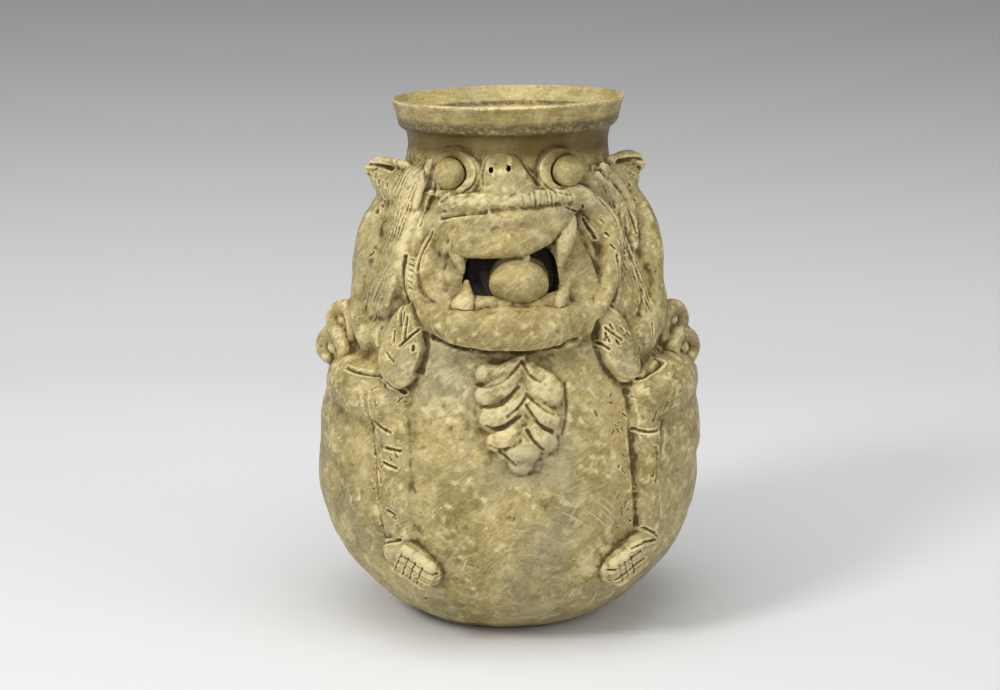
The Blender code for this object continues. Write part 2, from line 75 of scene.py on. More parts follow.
class Side(Enum):
    """The lion's two sides as the viewer sees them."""

    LEFT = -1
    RIGHT = 1

    def pick(self, pair: Sequence) -> object:
        """Gives the left or the right one of a pair."""
        return pair[self is Side.RIGHT]


class Luting(Enum):
    """What is done with a separate shape: it is luted on, or cut out of the clay."""

    ON = "UNION"
    OUT = "DIFFERENCE"


@dataclass(frozen=True)
class TurnedWall:
    """The jar's turned wall as it left the wheel."""

    height: float = 280.0
    base_radius: float = 42.0
    belly_radius: float = 102.5
    belly_height: float = 83.0
    neck_radius: float = 52.9
    neck_below_rim: float = 23.0
    rim_radius: float = 61.7
    band_height: float = 16.0
    bead_height: float = 3.0
    bead_overhang: float = 1.2
    bead_underside: Path = ((-0.3, -1.2), (0.2, 0.2))
    band_taper: float = 2.0
    band_foot_round: float = 4.5
    edge_round: float = 0.6
    rim_slope: float = 1.2
    thickness: float = 6.5
    floor: float = 9.0
    lip: float = 3.2
    lip_roll: float = 0.8
    dish_depth: float = 12.2
    dish_taper: float = 4.5
    seat: float = 3.0
    seat_rise: float = 0.5
    belly_bend: float = 2.2
    belly_swell: float = 1.3
    shoulder_low: float = 2.0
    shoulder_high: float = 1.5
    levelling: float = 3.0
    finger_mark: float = 0.35
    finger_pitch: float = 7.5
    outer_steps: int = 90
    outer_crowding: float = 1.25
    inner_steps: int = 130
    inner_crowding: float = 1.15
    round_steps: int = 8

    @property
    def neck_height(self) -> float:
        """Height at which the neck meets the rim's band."""
        return self.height - self.neck_below_rim

    def radius(self, height: float) -> float:
        """Gives the outer radius of the turned wall.

        Args:
            height: Height above the underside.

        Returns:
            The radius, from the underside up to the neck.
        """
        if height <= self.belly_height:
            share = max(0.0, height / self.belly_height)
            rise = (1.0 - (1.0 - share) ** self.belly_bend) ** (1.0 / self.belly_swell)
            return self.base_radius + (self.belly_radius - self.base_radius) * rise
        share = min(1.0, (height - self.belly_height) / (self.neck_height - self.belly_height))
        power = self.shoulder_low + (self.shoulder_high - self.shoulder_low) * share
        fall = max(0.0, math.cos(math.pi / 2 * share)) ** power
        return self.neck_radius + (self.belly_radius - self.neck_radius) * fall

    def radii(self, heights: np.ndarray) -> np.ndarray:
        """Gives the outer radius at many heights."""
        levels = np.arange(0.0, self.height + 10)
        return np.interp(heights, levels, [self.radius(level) for level in levels])

    def lift(self, x: float, height: float) -> float:
        """Gives how far the sloping rim lifts a point, which is nothing below the rim's band."""
        ramp = (height - (self.neck_height - self.band_height)) / self.band_height
        return x * math.tan(math.radians(self.rim_slope)) * min(1.0, max(0.0, ramp))

    def outer_profile(self) -> list[Place]:
        """Gives the solid jar's outside.

        Returns:
            Points of radius and height, from the axis below to the axis above.
        """
        foot = self.height - self.band_height
        band = self.rim_radius - self.bead_overhang
        low = band - self.band_taper
        points = [(0.0, -self.levelling), (self.base_radius, -self.levelling)]
        for i in range(self.outer_steps + 1):
            height = self.neck_height * (i / self.outer_steps) ** self.outer_crowding
            points.append((self.radius(height), height))
        for i in range(self.round_steps + 1):
            turn = math.pi / 2 * i / self.round_steps
            points.append((
                low - self.band_foot_round * (1.0 - math.sin(turn)),
                foot + self.band_foot_round * (1.0 - math.cos(turn))))
        points += [(band + out, self.height - self.bead_height + up) for out, up in self.bead_underside]
        return points + [
            (self.rim_radius, self.height - self.bead_height / 2),
            (self.rim_radius, self.height - self.edge_round),
            (self.rim_radius - self.edge_round, self.height),
            (0.0, self.height)]

    def inner_profile(self) -> list[Place]:
        """Gives the hollow, with the faint ridges that the potter's fingers left.

        Returns:
            Points of radius and height, from the axis at the floor up past the rim.
        """
        lip_radius = self.rim_radius - self.lip
        dish_floor = self.height - self.dish_depth
        throat = self.neck_radius - self.thickness
        corner = self.floor
        points = [(0.0, self.floor)]
        for i in range(self.inner_steps + 1):
            share = (i / self.inner_steps) ** self.inner_crowding
            height = self.floor + (self.neck_height - self.floor) * share
            filled = max(0.0, 1.0 - (height - self.floor) / (2 * corner))
            ridge = self.finger_mark * math.sin(2 * math.pi * height / self.finger_pitch)
            points.append((self.radius(height) - self.thickness - corner * filled ** 2 - abs(ridge), height))
        return points + [
            (throat, dish_floor - self.edge_round),
            (throat + self.seat * 0.3, dish_floor),
            (throat + self.seat, dish_floor + self.seat_rise),
            (lip_radius - self.dish_taper, dish_floor + self.seat),
            (lip_radius - self.lip_roll, self.height - self.bead_height),
            (lip_radius, self.height - self.edge_round),
            (lip_radius + self.edge_round, self.height + self.edge_round),
            (lip_radius + self.edge_round, self.height + self.dish_taper),
            (0.0, self.height + self.dish_taper)]


class Clay:
    """Soft clay in the potter's hands: rolls, pads and balls laid on the wall."""

    thinnest: float = 0.3
    cap_turns: tuple[float, ...] = (90, 68, 46, 23)
    pad_fineness: int = 5
    ball_sides: int = 56
    ball_rings: int = 36
    lump_waves: tuple[float, float, float] = (3.1, 4.1, 2.7)

    def __init__(self, wall: TurnedWall) -> None:
        """Starts with no clay, to be laid on the turned wall."""
        self.wall = wall
        self.mesh = bmesh.new()

    def around(self, azimuth: float, height: float, out: float) -> Vector:
        """Gives the point at an azimuth and a height, so far out of the turned wall."""
        reach, angle = self.wall.radius(height) + out, math.radians(azimuth)
        return Vector((reach * math.sin(angle), -reach * math.cos(angle), height))

    def front(self, x: float, height: float, out: float) -> Vector:
        """Gives the point that the front view shows at x and a height, so far out of the turned wall."""
        reach = self.wall.radius(height) + out
        return Vector((x, -math.sqrt(max(0.0, reach * reach - x * x)), height))

    def azimuth_at(self, x: float, height: float) -> float:
        """Gives the azimuth of the place on the wall that the front view shows at x."""
        return math.degrees(math.asin(min(1.0, x / self.wall.radius(height))))

    def spin(self, profile: Sequence[Place], steps: int) -> None:
        """Turns a profile that starts and ends on the axis into a closed shape.

        Args:
            profile: Points of radius and height.
            steps: Faces round the jar.
        """
        shape = bmesh.new()
        chain = [shape.verts.new((radius, 0.0, height)) for radius, height in profile]
        edges = [shape.edges.new(pair) for pair in zip(chain, chain[1:])]
        bmesh.ops.spin(
            shape, geom=chain + edges, cent=(0, 0, 0), axis=(0, 0, 1),
            angle=2 * math.pi, steps=steps, use_merge=True)
        bmesh.ops.remove_doubles(shape, verts=shape.verts, dist=1e-3)
        if shape.calc_volume(signed=True) < 0:
            bmesh.ops.reverse_faces(shape, faces=shape.faces)
        for vertex in shape.verts:
            vertex.co.z += self.wall.lift(vertex.co.x, vertex.co.z)
        self.keep(shape)

    def keep(self, shape: bmesh.types.BMesh) -> None:
        """Adds a finished shape to the clay.

        Args:
            shape: The shape, which is used up.
        """
        data = bpy.data.meshes.new("shape")
        shape.to_mesh(data)
        shape.free()
        self.mesh.from_mesh(data)
        bpy.data.meshes.remove(data)

    def take(self, joined: bpy.types.Object) -> None:
        """Takes up clay that was joined before, and removes its object.

        Args:
            joined: The object, in metres.
        """
        joined.data.transform(Matrix.Scale(1 / MM, 4))
        self.mesh.from_mesh(joined.data)
        bpy.data.objects.remove(joined, do_unlink=True)

    @staticmethod
    def smooth_path(stations: Sequence[tuple[Vector, float]], steps: int) -> list[tuple[Vector, float]]:
        """Runs a smooth path through stations.

        Args:
            stations: Points, each with a radius.
            steps: Steps between one station and the next.

        Returns:
            Points and radii along the path.
        """
        ends = [stations[0], *stations, stations[-1]]
        found = []
        for p, q, r, s in zip(ends, ends[1:], ends[2:], ends[3:]):
            for step in range(steps):
                t = step / steps
                found.append(tuple(
                    0.5 * ((2 * b) + (c - a) * t + (2 * a - 5 * b + 4 * c - d) * t * t
                           + (3 * b - a - 3 * c + d) * t ** 3)
                    for a, b, c, d in zip(p, q, r, s)))
        found.append(stations[-1])
        return found

    @staticmethod
    def squared(turn: float, square: float) -> Place:
        """Gives a unit outline's point at an angle.

        Args:
            turn: The angle in radians.
            square: 2 for a round outline, and more to fill its corners.

        Returns:
            The point's two coordinates.
        """
        side, up = math.cos(turn), math.sin(turn)
        fill = (abs(side) ** square + abs(up) ** square) ** (-1.0 / square)
        return side * fill, up * fill

    def roll(
            self, stations: Sequence[tuple[Vector, float]], flat: float = 1.0, steps: int = 6,
            sides: int = 18, facing: Vector | None = None, square: float = 2.0, end: float = 1.0) -> None:
        """Lays a rolled sausage of clay, round at both ends.

        Args:
            stations: Points along it, each with a radius.
            flat: Its thickness out of the wall as a share of its width.
            steps: Steps between stations.
            sides: Faces round it.
            facing: Direction of its thickness, if that isn't away from the jar's axis.
            square: How squared its section is, from 2 for round.
            end: How far its ends bulge, as a share of their radius.
        """
        path = self.smooth_path(stations, steps)
        rings = []
        for i, (point, radius) in enumerate(path):
            along = (path[min(len(path) - 1, i + 1)][0] - path[max(0, i - 1)][0]).normalized()
            away = facing.copy() if facing else Vector((point.x, point.y, 0.0))
            away = (away - along * away.dot(along)).normalized()
            rings.append((point, max(radius, self.thinnest), along, away))
        caps = [math.radians(turn) for turn in self.cap_turns]
        rows = [(rings[0], -turn) for turn in caps] + [(ring, 0.0) for ring in rings]
        rows += [(rings[-1], turn) for turn in reversed(caps)]
        shape = bmesh.new()
        bmesh.ops.create_uvsphere(shape, u_segments=sides, v_segments=len(rows) - 1, radius=1.0)
        for vertex in shape.verts:
            row = round(math.acos(max(-1.0, min(1.0, vertex.co.z))) / math.pi * (len(rows) - 1))
            (point, radius, along, away), turn = rows[row]
            side, up = self.squared(math.atan2(vertex.co.y, vertex.co.x), square)
            shrink = math.cos(turn)
            vertex.co = (
                point + along * radius * end * math.sin(turn)
                + along.cross(away) * radius * side * shrink
                + away * radius * flat * up * shrink)
        self.keep(shape)

    def rolls(
            self, place: Callable[[float, float, float], Vector], *tables: Roll, **shape: object) -> None:
        """Lays one roll of clay for each table, placed by around or front and shaped as roll is."""
        for table in tables:
            self.roll([(place(a, height, out), radius) for a, height, out, radius in table], **shape)

    def pad(
            self, azimuth: float, height: float, out: float, half_width: float, half_height: float,
            half_depth: float, roll: float = 0.0, square: float = 2.0, dome: float = 0.6) -> None:
        """Presses a pad of clay round the wall.

        Args:
            azimuth: Angle of its middle from the front.
            height: Height of its middle.
            out: Distance of its middle out of the wall.
            half_width: Half of its width round the wall.
            half_height: Half of its height.
            half_depth: Half of its thickness.
            roll: Turn in the wall's own plane.
            square: How squared its outline is, from 2 for round.
            dome: Below 1 flattens its face and steepens its edge.
        """
        shape = bmesh.new()
        bmesh.ops.create_icosphere(shape, subdivisions=self.pad_fineness, radius=1.0)
        reach = self.wall.radius(height) + out
        turn = math.radians(roll)
        for vertex in shape.verts:
            u, v, w = vertex.co
            spread = math.hypot(u, v)
            side, up = self.squared(math.atan2(v, u), square)
            u, v = side * spread * half_width, up * spread * half_height
            side = u * math.cos(turn) - v * math.sin(turn)
            up = u * math.sin(turn) + v * math.cos(turn)
            proud = out + math.copysign(abs(w) ** dome, w) * half_depth
            vertex.co = self.around(azimuth + math.degrees(side / reach), height + up, proud)
        self.keep(shape)

    def ball(self, centre: Vector, radii: Sequence[float], lumps: float) -> None:
        """Adds a ball of clay rolled in the palms.

        Args:
            centre: Its middle.
            radii: Its three half sizes.
            lumps: How far its surface strays from a true ball.
        """
        shape = bmesh.new()
        bmesh.ops.create_uvsphere(shape, u_segments=self.ball_sides, v_segments=self.ball_rings, radius=1.0)
        for vertex in shape.verts:
            x, y, z = vertex.co
            stray = lumps * math.sin(self.lump_waves[0] * x + 1.3)
            stray *= math.sin(self.lump_waves[2] * z + self.lump_waves[1] * y)
            vertex.co = centre + Vector([a * (b + stray) for a, b in zip(vertex.co, radii)])
        self.keep(shape)

    def solid(self, name: str) -> bpy.types.Object:
        """Turns the clay into an object in metres and leaves this lump empty.

        Args:
            name: The object's name.

        Returns:
            The new object, linked to the scene.
        """
        bmesh.ops.scale(self.mesh, verts=self.mesh.verts, vec=(MM, MM, MM))
        data = bpy.data.meshes.new(name)
        self.mesh.to_mesh(data)
        self.mesh.free()
        made = bpy.data.objects.new(name, data)
        bpy.context.scene.collection.objects.link(made)
        return made


@dataclass(frozen=True)
class Stroke:
    """One draw of a wooden tool through the clay, or a ridge left by a fingertip.

    path is a list of azimuth and height. depth below nothing raises the clay. burr is how far the
    clay that the tool pushes aside stands up, as a share of the depth.
    """

    path: Path
    width: float = 1.1
    depth: float = 1.2
    burr: float = 0.18

    def eased(self) -> list[Place]:
        """Rounds the corners of the path.

        Returns:
            The path, with more points.
        """
        path = list(self.path)
        for _ in range(2 if len(path) > 2 else 0):
            cut = [path[0]]
            for (a, b), (c, d) in zip(path, path[1:]):
                cut.append((0.75 * a + 0.25 * c, 0.75 * b + 0.25 * d))
                cut.append((0.25 * a + 0.75 * c, 0.25 * b + 0.75 * d))
            path = [*cut, path[-1]]
        return path


class Skin:
    """The joined skin as arrays of points and normals, in millimetres, open to the tools."""

    least_reach: float = 45.0
    hollow_reach: float = 30.0
    burr_at: float = 1.35
    burr_width: float = 0.32

    def __init__(self, mesh: bpy.types.Mesh) -> None:
        """Reads a mesh.

        Args:
            mesh: The joined skin, in metres.
        """
        self.mesh = mesh
        flat = np.empty(len(mesh.vertices) * 3, np.float32)
        mesh.vertices.foreach_get("co", flat)
        self.points = flat.reshape(-1, 3).astype(np.float64) / MM
        mesh.vertex_normals.foreach_get("vector", flat)
        self.normals = flat.reshape(-1, 3).astype(np.float64)
        self.azimuth = np.degrees(np.arctan2(self.points[:, 0], -self.points[:, 1]))
        self.height = self.points[:, 2].copy()
        self.reach = np.hypot(self.points[:, 0], self.points[:, 1])
        self.push = np.zeros(len(mesh.vertices))

    def near(self, path: Path, margin: float) -> np.ndarray:
        """Finds the points on the outside around a path.

        Args:
            path: Azimuths and heights.
            margin: Distance around the path.

        Returns:
            Indices of the points.
        """
        turns, heights = zip(*path)
        spare = math.degrees(margin / self.least_reach)
        inside = (self.height > min(heights) - margin) & (self.height < max(heights) + margin)
        inside &= (self.azimuth > min(turns) - spare) & (self.azimuth < max(turns) + spare)
        return np.nonzero(inside & (self.reach > self.hollow_reach))[0]

    def score(self, stroke: Stroke) -> None:
        """Draws a tool through the clay, or raises a ridge.

        Args:
            stroke: Where and how deep.
        """
        found = self.near(stroke.path, 3 * stroke.width)
        if not len(found):
            return
        scale = math.radians(1.0) * float(np.median(self.reach[found]))
        best = np.full(len(found), 1e9)
        path = stroke.eased()
        for (turn, height), (next_turn, next_height) in zip(path, path[1:]):
            u = (self.azimuth[found] - turn) * scale
            v = self.height[found] - height
            du, dv = (next_turn - turn) * scale, next_height - height
            length = max(1e-6, du * du + dv * dv)
            t = np.clip((u * du + v * dv) / length, 0.0, 1.0)
            best = np.minimum(best, np.hypot(u - t * du, v - t * dv))
        away = best / stroke.width
        cut = (1.0 - np.clip(away, 0.0, 1.0) ** 2) ** 2
        burr = np.exp(-((away - self.burr_at) / self.burr_width) ** 2) * stroke.burr
        self.push[found] -= stroke.depth * (cut - burr)

    def settle(self) -> None:
        """Moves the points by what the tools pushed, and starts afresh."""
        self.points += self.normals * self.push[:, None]
        self.push[:] = 0.0

    def write(self) -> None:
        """Writes the points back to the mesh, in metres."""
        self.mesh.vertices.foreach_set("co", (self.points * MM).astype(np.float32).ravel())
        self.mesh.update()


def waves(points: np.ndarray, size: float, seed: int, count: int = 14) -> np.ndarray:
    """Sums waves in scattered directions into a smooth, uneven field.

    Args:
        points: Points in millimetres.
        size: Typical length of a wave.
        seed: Which field.
        count: How many waves.

    Returns:
        The field at each point, mostly within -1 to 1.
    """
    rng = np.random.default_rng(seed)
    total = np.zeros(len(points))
    for _ in range(count):
        direction = rng.normal(size=3)
        direction /= np.linalg.norm(direction)
        length = size * rng.uniform(*WAVE_LENGTHS)
        total += np.sin(points @ direction * (2 * math.pi / length) + rng.uniform(0, 2 * math.pi))
    return total / math.sqrt(count / 2) * WAVE_HEIGHT


def patched(total: np.ndarray, points: np.ndarray, patches: Sequence[Patch]) -> np.ndarray:
    """Adds soft round patches, as the front view shows them, to a reading.

    Args:
        total: The reading.
        points: Points in millimetres.
        patches: Middle to the side and up, half width, half height and strength.

    Returns:
        The reading with the patches.
    """
    for across, up, half_width, half_height, share in patches:
        away = ((points[:, 0] - across) / half_width) ** 2 + ((points[:, 2] - up) / half_height) ** 2
        total = total + share * np.exp(-away)
    return total


def ticks(places: Sequence[Place], turn: float, fall: float, width: float, depth: float) -> list[Stroke]:
    """Cuts a short tick at each place, which goes on by turn and falls by fall."""
    return [Stroke(((a, height), (a + turn, height - fall)), width, depth) for a, height in places]


def folds(paths: Sequence[Path]) -> list[Stroke]:
    """Presses broad soft folds."""
    return [Stroke(path, width=2.2, depth=1.0, burr=0.0) for path in paths]


@dataclass(frozen=True)
class Nicks:
    """Light nicks scattered over a limb, each from a place that turns aside and falls a little."""

    seed: int
    heights: Place
    azimuths: Place
    most_sway: float
    most_fall: float
    least_fall: float = 0.3
    count: int = 22
    widths: Place = (0.5, 0.9)
    depths: Place = (0.3, 0.7)
    burr: float = 0.3

    def over(self, side: Side) -> list[Stroke]:
        """Scatters the nicks.

        Args:
            side: Which side of the lion.

        Returns:
            The nicks.
        """
        rng = np.random.default_rng(self.seed + side.value)
        marks = []
        for _ in range(self.count):
            height = rng.uniform(*self.heights)
            azimuth = side.value * rng.uniform(*self.azimuths)
            sway = rng.uniform(-self.most_sway, self.most_sway)
            fall = rng.uniform(self.least_fall, self.most_fall)
            path = ((azimuth, height), (azimuth + sway, height - fall))
            marks.append(Stroke(path, rng.uniform(*self.widths), rng.uniform(*self.depths), self.burr))
        return marks


class Part:
    """One part of the lion: masses that melt into the wall, crisper clay on them, and tool marks."""

    def lay(self, clay: Clay) -> None:
        """Lays the part's masses on the wall."""

    def dress(self, clay: Clay) -> None:
        """Lays the crisper clay on the masses."""

    def strokes(self) -> list[Stroke]:
        """Gives the tool marks."""
        return []


@dataclass
class Mask(Part):
    """The lion's dished face: its raised edge, brow, muzzle, lips, jaw and fangs."""

    middle: float = 3.5
    height: float = 197.0
    radius: float = 51.0
    flattened: float = 0.86
    disc_out: float = -8
    disc_depth: float = 12
    bridge_pad: Pad = (-3, 227, 0, 38, 13, 7)
    left_cheek_pad: Pad = (-34, 204, 1.5, 8, 15, 6.5)
    cheek_sizes: tuple[float, float, float, float] = (1, 12.5, 23, 7)
    to_cheek: float = 31
    cheek_turn: float = 14
    mouth_middle: float = 1.4
    mouth_height: float = 196.8
    mouth_half_width: float = 23.8
    mouth_half_height: float = 14.6
    mouth_depth: float = 4.6
    mouth_lip: float = 8.5
    ball_middle: float = 5.5
    ball_height: float = 193.4
    ball_out: float = 8.5
    ball_radii: tuple[float, float, float] = (15.0, 12.4, 11.4)
    slope: Roll = (
        (-34, 221, 2, 6.4), (-18, 221.4, 5.4, 7.8), (0, 222, 6.6, 8), (18, 223.6, 5.6, 7.4),
        (30, 227, 2, 5.8))
    muzzle: Roll = (
        (-37, 215.5, 1, 6), (-26, 213.5, 6.4, 6.8), (-12, 212.6, 10.2, 7.2), (2, 212.8, 11.4, 7.4),
        (15, 215.5, 9.8, 7), (27, 220.5, 5, 6))
    jaw: Roll = (
        (-44, 180, -1, 5), (-33, 173.5, 3, 8.4), (-17, 170.3, 8.2, 10.7), (2, 170.2, 10, 11.2),
        (18, 171, 8.6, 10.8), (33, 174.5, 3, 8.4), (45, 182, -1, 5.5))
    left_edge: Roll = (
        (-29, 232, 3.5, 4.6), (-38, 221, 3.5, 5), (-44.6, 211, 3.5, 5), (-48.4, 197.3, 3.5, 5),
        (-46, 184, 3.5, 5.2), (-40, 174, 3, 5.2), (-31, 166, 1, 4.6))
    right_edge: Roll = (
        (31, 236, 3, 5), (39, 231.5, 3.5, 6.2), (48, 221.5, 3.5, 6.8), (52.4, 207, 3, 7),
        (51, 193, 2.8, 6.8), (45.5, 180, 2.4, 6.4), (38.5, 170.5, 1, 5.8), (29, 163.5, -1, 4.4))
    brow: Roll = (
        (-40, 221, 2, 3.2), (-33, 227.5, 5, 4.4), (-18, 231, 7.5, 5.4), (2, 232.6, 8, 5.4),
        (22, 233.2, 7, 5), (33, 232.4, 4.6, 4.2), (42, 228.5, 3, 3.2))
    upper_lip: Roll = (
        (-36, 210, 2.4, 4.2), (-29.5, 209, 7, 5), (-20, 209.8, 11.5, 4.9), (-6, 210.2, 14.2, 4.6),
        (8, 211.2, 14, 4.5), (18, 214.4, 11.6, 4.2), (28, 219.5, 7.4, 3.6))
    lower_lip: Roll = (
        (-17, 176.8, 12, 3.8), (-6, 178.6, 13.5, 3.7), (8, 179, 13.5, 3.7), (22, 178, 12, 3.8))
    gum: Roll = ((-22, 181.5, 6, 5), (-4, 182.5, 8, 4.6), (12, 182, 8, 4.6), (26, 184, 6.5, 5))
    fangs: tuple[Roll, ...] = (
        ((-27.5, 211, 3, 5), (-25.6, 206.5, 8, 4.2), (-24, 201.5, 10.2, 2.7), (-23.2, 198, 10.9, 1.5)),
        ((29.5, 221, 2.4, 5.6), (29, 215, 7.2, 5.6), (28, 208, 10.2, 3.8), (26.6, 201.6, 11, 1.8)),
        ((-22.5, 175, 2, 8), (-21.6, 183, 8.4, 6.6), (-21, 189, 11, 3.3), (-20.8, 193.6, 12, 1.4)),
        ((23, 178, 4.5, 6), (26, 184.5, 8.6, 4.2), (29, 190, 9.8, 2.5), (31, 194.4, 9.8, 1.3)))
    stem: Roll = ((8, 211, 10.5, 2.6), (9, 204, 10, 2.2))
    grooves: tuple[tuple, ...] = (
        (((-29, 223.4), (-22, 226), (-14, 227.3), (-9, 227.9)), 1.6, 1.8, 0.05),
        (((-6.5, 228.2), (4, 229.4), (14, 230.2), (23, 231)), 1.8, 0.6, 0.0),
        (((-12, 161), (-6, 160), (-2, 160.6), (5, 159.6), (12, 161)), 1.5, 1.8, 0.0),
        (((29.6, 227.3), (33.9, 225.4)), 0.9, 1.2),
        (((26, 229), (28.4, 228)), 0.8, 0.9),
        (((38.9, 221), (42.4, 211)), 0.9, 1.3),
        (((-31.3, 231.5), (-28.4, 233.7)), 1.0, 1.2),
        (((-32.5, 216), (-35, 210), (-37, 203), (-37, 197)), 1.1, 0.9, 0.3),
        (((-37, 199), (-36, 192), (-33, 187), (-27, 182.5)), 1.8, 0.35, 0.0),
        (((-27.3, 164.4), (-20, 161.6), (-12.6, 160.1), (-5, 159.6), (2, 159.8), (14, 160.4), (24, 164)),
         2.2, 2.8, 0.05),
        (((29, 229), (33, 224), (36.5, 216), (38.5, 207), (38.5, 196), (35.5, 184)), 3.6, 0.8, 0.0),
        (((-22, 211), (-25, 204), (-25, 196), (-23, 188)), 2.4, 0.8, 0.0))
    pricks: Path = ((35.7, 229), (44.2, 220.5), (45.4, 214), (46, 208))
    notches: int = 10
    notch_from: float = 6.5
    notch_pitch: float = 2.5
    notch_top: float = 238.0
    kneaded: tuple[tuple[float, ...], ...] = (
        (214, 7, -3, 36, 8, 0.4, 0.12), (173, 11, 0, 40, 10, 0.5, 0.1), (236, 5, 0, 42, 10, 0.25, 0.1))
    # Glaze pools, and painted shade under the jaw, on the slope under the brow and on the right arm: middle
    # to the side and up, half width, half height and strength.
    glaze_pools_and_shade: tuple[Patch, ...] = (
        (-36, 199, 8, 17, 0.75), (38, 203, 8, 20, 0.7), (0, 223.5, 34, 3.6, 0.6),
        (-26, 206, 6, 8, 0.5), (32, 212, 5, 12, 0.5), (-29, 184, 7, 6, 0.5), (30, 184, 7, 7, 0.5),
        (-55, 96, 9, 42, 0.75), (68, 190, 8, 26, 0.6), (-40, 150, 9, 22, 0.3), (60, 150, 10, 14, 0.4),
        (0, 158, 34, 3, 0.6), (0, 173, 32, 8, 0.35))

    def lay(self, clay: Clay) -> None:
        """Lays the face's soft masses: its disc, the snout's bridge, the cheeks, and the rolls on them.

        Args:
            clay: The clay that it joins.
        """
        azimuth = clay.azimuth_at(self.middle, self.height)
        half_height = self.radius * self.flattened
        clay.pad(azimuth, self.height, self.disc_out, self.radius, half_height, self.disc_depth, square=2.3)
        clay.pad(*self.bridge_pad, square=2.6)
        for side in Side:
            azimuth = clay.azimuth_at(self.mouth_middle + side.value * self.to_cheek, self.height)
            clay.pad(azimuth, self.height, *self.cheek_sizes, roll=side.value * self.cheek_turn)
        clay.pad(*self.left_cheek_pad)
        clay.rolls(clay.front, self.slope, self.muzzle, self.jaw, self.left_edge, self.right_edge)

    def dress(self, clay: Clay) -> None:
        """Lays the crisper clay: the brow and the lips."""
        clay.rolls(clay.front, self.brow, self.upper_lip, self.lower_lip, self.gum, flat=0.9)

    def cut_mouth(self, clay: Clay) -> None:
        """Shapes the gap between the jaws, a pocket that stops in the jar's wall.

        Args:
            clay: The clay that the cutter is made of.
        """
        half_depth = (self.mouth_depth + self.mouth_lip) / 2
        clay.pad(
            clay.azimuth_at(self.mouth_middle, self.mouth_height), self.mouth_height,
            self.mouth_lip - half_depth, self.mouth_half_width, self.mouth_half_height, half_depth,
            roll=2.5, square=3, dome=0.3)

    def lay_fangs(self, clay: Clay) -> None:
        """Hangs two fangs from the upper lip and stands two on the lower, each a tapered roll."""
        clay.rolls(clay.front, *self.fangs, sides=20)

    def lay_ball(self, clay: Clay) -> None:
        """Puts the ball of clay between the jaws, on its stem."""
        clay.ball(clay.front(self.ball_middle, self.ball_height, self.ball_out), self.ball_radii, 0.35)
        clay.rolls(clay.front, self.stem, sides=10, steps=3)

    def strokes(self) -> list[Stroke]:
        """Gives the tool marks on the face.

        Returns:
            Grooves, pricks, the brow's notches and the cheek's hatching.
        """
        marks = [Stroke(*groove) for groove in self.grooves] + ticks(self.pricks, 0.8, 1.5, 0.7, 0.9)
        rng = np.random.default_rng(3)
        for i in range(self.notches):
            azimuth = self.notch_from + self.notch_pitch * i + rng.uniform(-0.6, 0.6)
            top = self.notch_top + rng.uniform(-1, 0.8) - 0.012 * (azimuth - 16) ** 2
            path = ((azimuth, top), (azimuth + rng.uniform(-0.4, 0.7), top - rng.uniform(2.5, 7)))
            marks.append(Stroke(path, rng.uniform(0.7, 1.2), rng.uniform(0.25, 0.6), 0.1))
        return marks + ticks([(-41.4 + 0.5 * i, 202 - 2.7 * i) for i in range(6)], 1.8, 0.6, 0.6, 0.45)

    def painted_mouth_shade(self, points: np.ndarray) -> np.ndarray:
        """Finds the gap between the jaws, without the ball, which is painted near black as shade.

        Args:
            points: Points in millimetres.

        Returns:
            1 in the gap and 0 elsewhere.
        """
        x, y, z = points.T
        wide = np.abs(x - self.mouth_middle) < self.mouth_half_width + 1.5
        high = np.abs(z - self.mouth_height) < self.mouth_half_height + 2
        out = np.hypot(x, y) - TurnedWall().radii(z)
        deep = (out < 4.5) & (out > -self.mouth_depth - 1)
        ball = np.hypot(x - self.ball_middle, (z - self.ball_height) * 1.3) < self.ball_radii[0]
        return (wide & high & deep & (y < 0) & ~ball).astype(np.float64)

    def round_mouth(self, points: np.ndarray) -> np.ndarray:
        """Finds the lips, the fangs and the ball, which the glaze still covers: 1 on them, 0 away."""
        away = np.hypot((points[:, 0] - self.mouth_middle) / 40, (points[:, 2] - self.mouth_height) / 34)
        return np.clip((1.15 - away) / 0.2, 0, 1) * (points[:, 1] < 0)

    def pooled_glaze_and_shade(self, points: np.ndarray) -> np.ndarray:
        """Finds how heavily the glaze gathered on the cheeks, lips, an arm and a shin, with painted shade
        under the jaw, on the slope under the brow and on the right arm, up to 1.
        """
        total = patched(0.35 * self.round_mouth(points), points, self.glaze_pools_and_shade)
        return np.clip(total, 0, 1) * (points[:, 1] < 0)

    def knead(self, skin: Skin) -> None:
        """Leaves the lumps and dimples of pressing fingers on lips, brow and jaw.

        Args:
            skin: The skin to press.
        """
        x = skin.points[:, 0]
        front = np.clip((50 - np.abs(skin.azimuth)) / 10, 0, 1)
        lumps = waves(skin.points, 9.0, 21)
        dimples = waves(skin.points, 4.5, 22)
        for height, half_height, middle, half_width, fade, lump, dimple in self.kneaded:
            band = np.exp(-((skin.height - height) / half_height) ** 2)
            band *= np.clip((half_width - np.abs(x - middle)) / fade, 0, 1)
            skin.push += front * band * (lump * lumps + dimple * dimples)


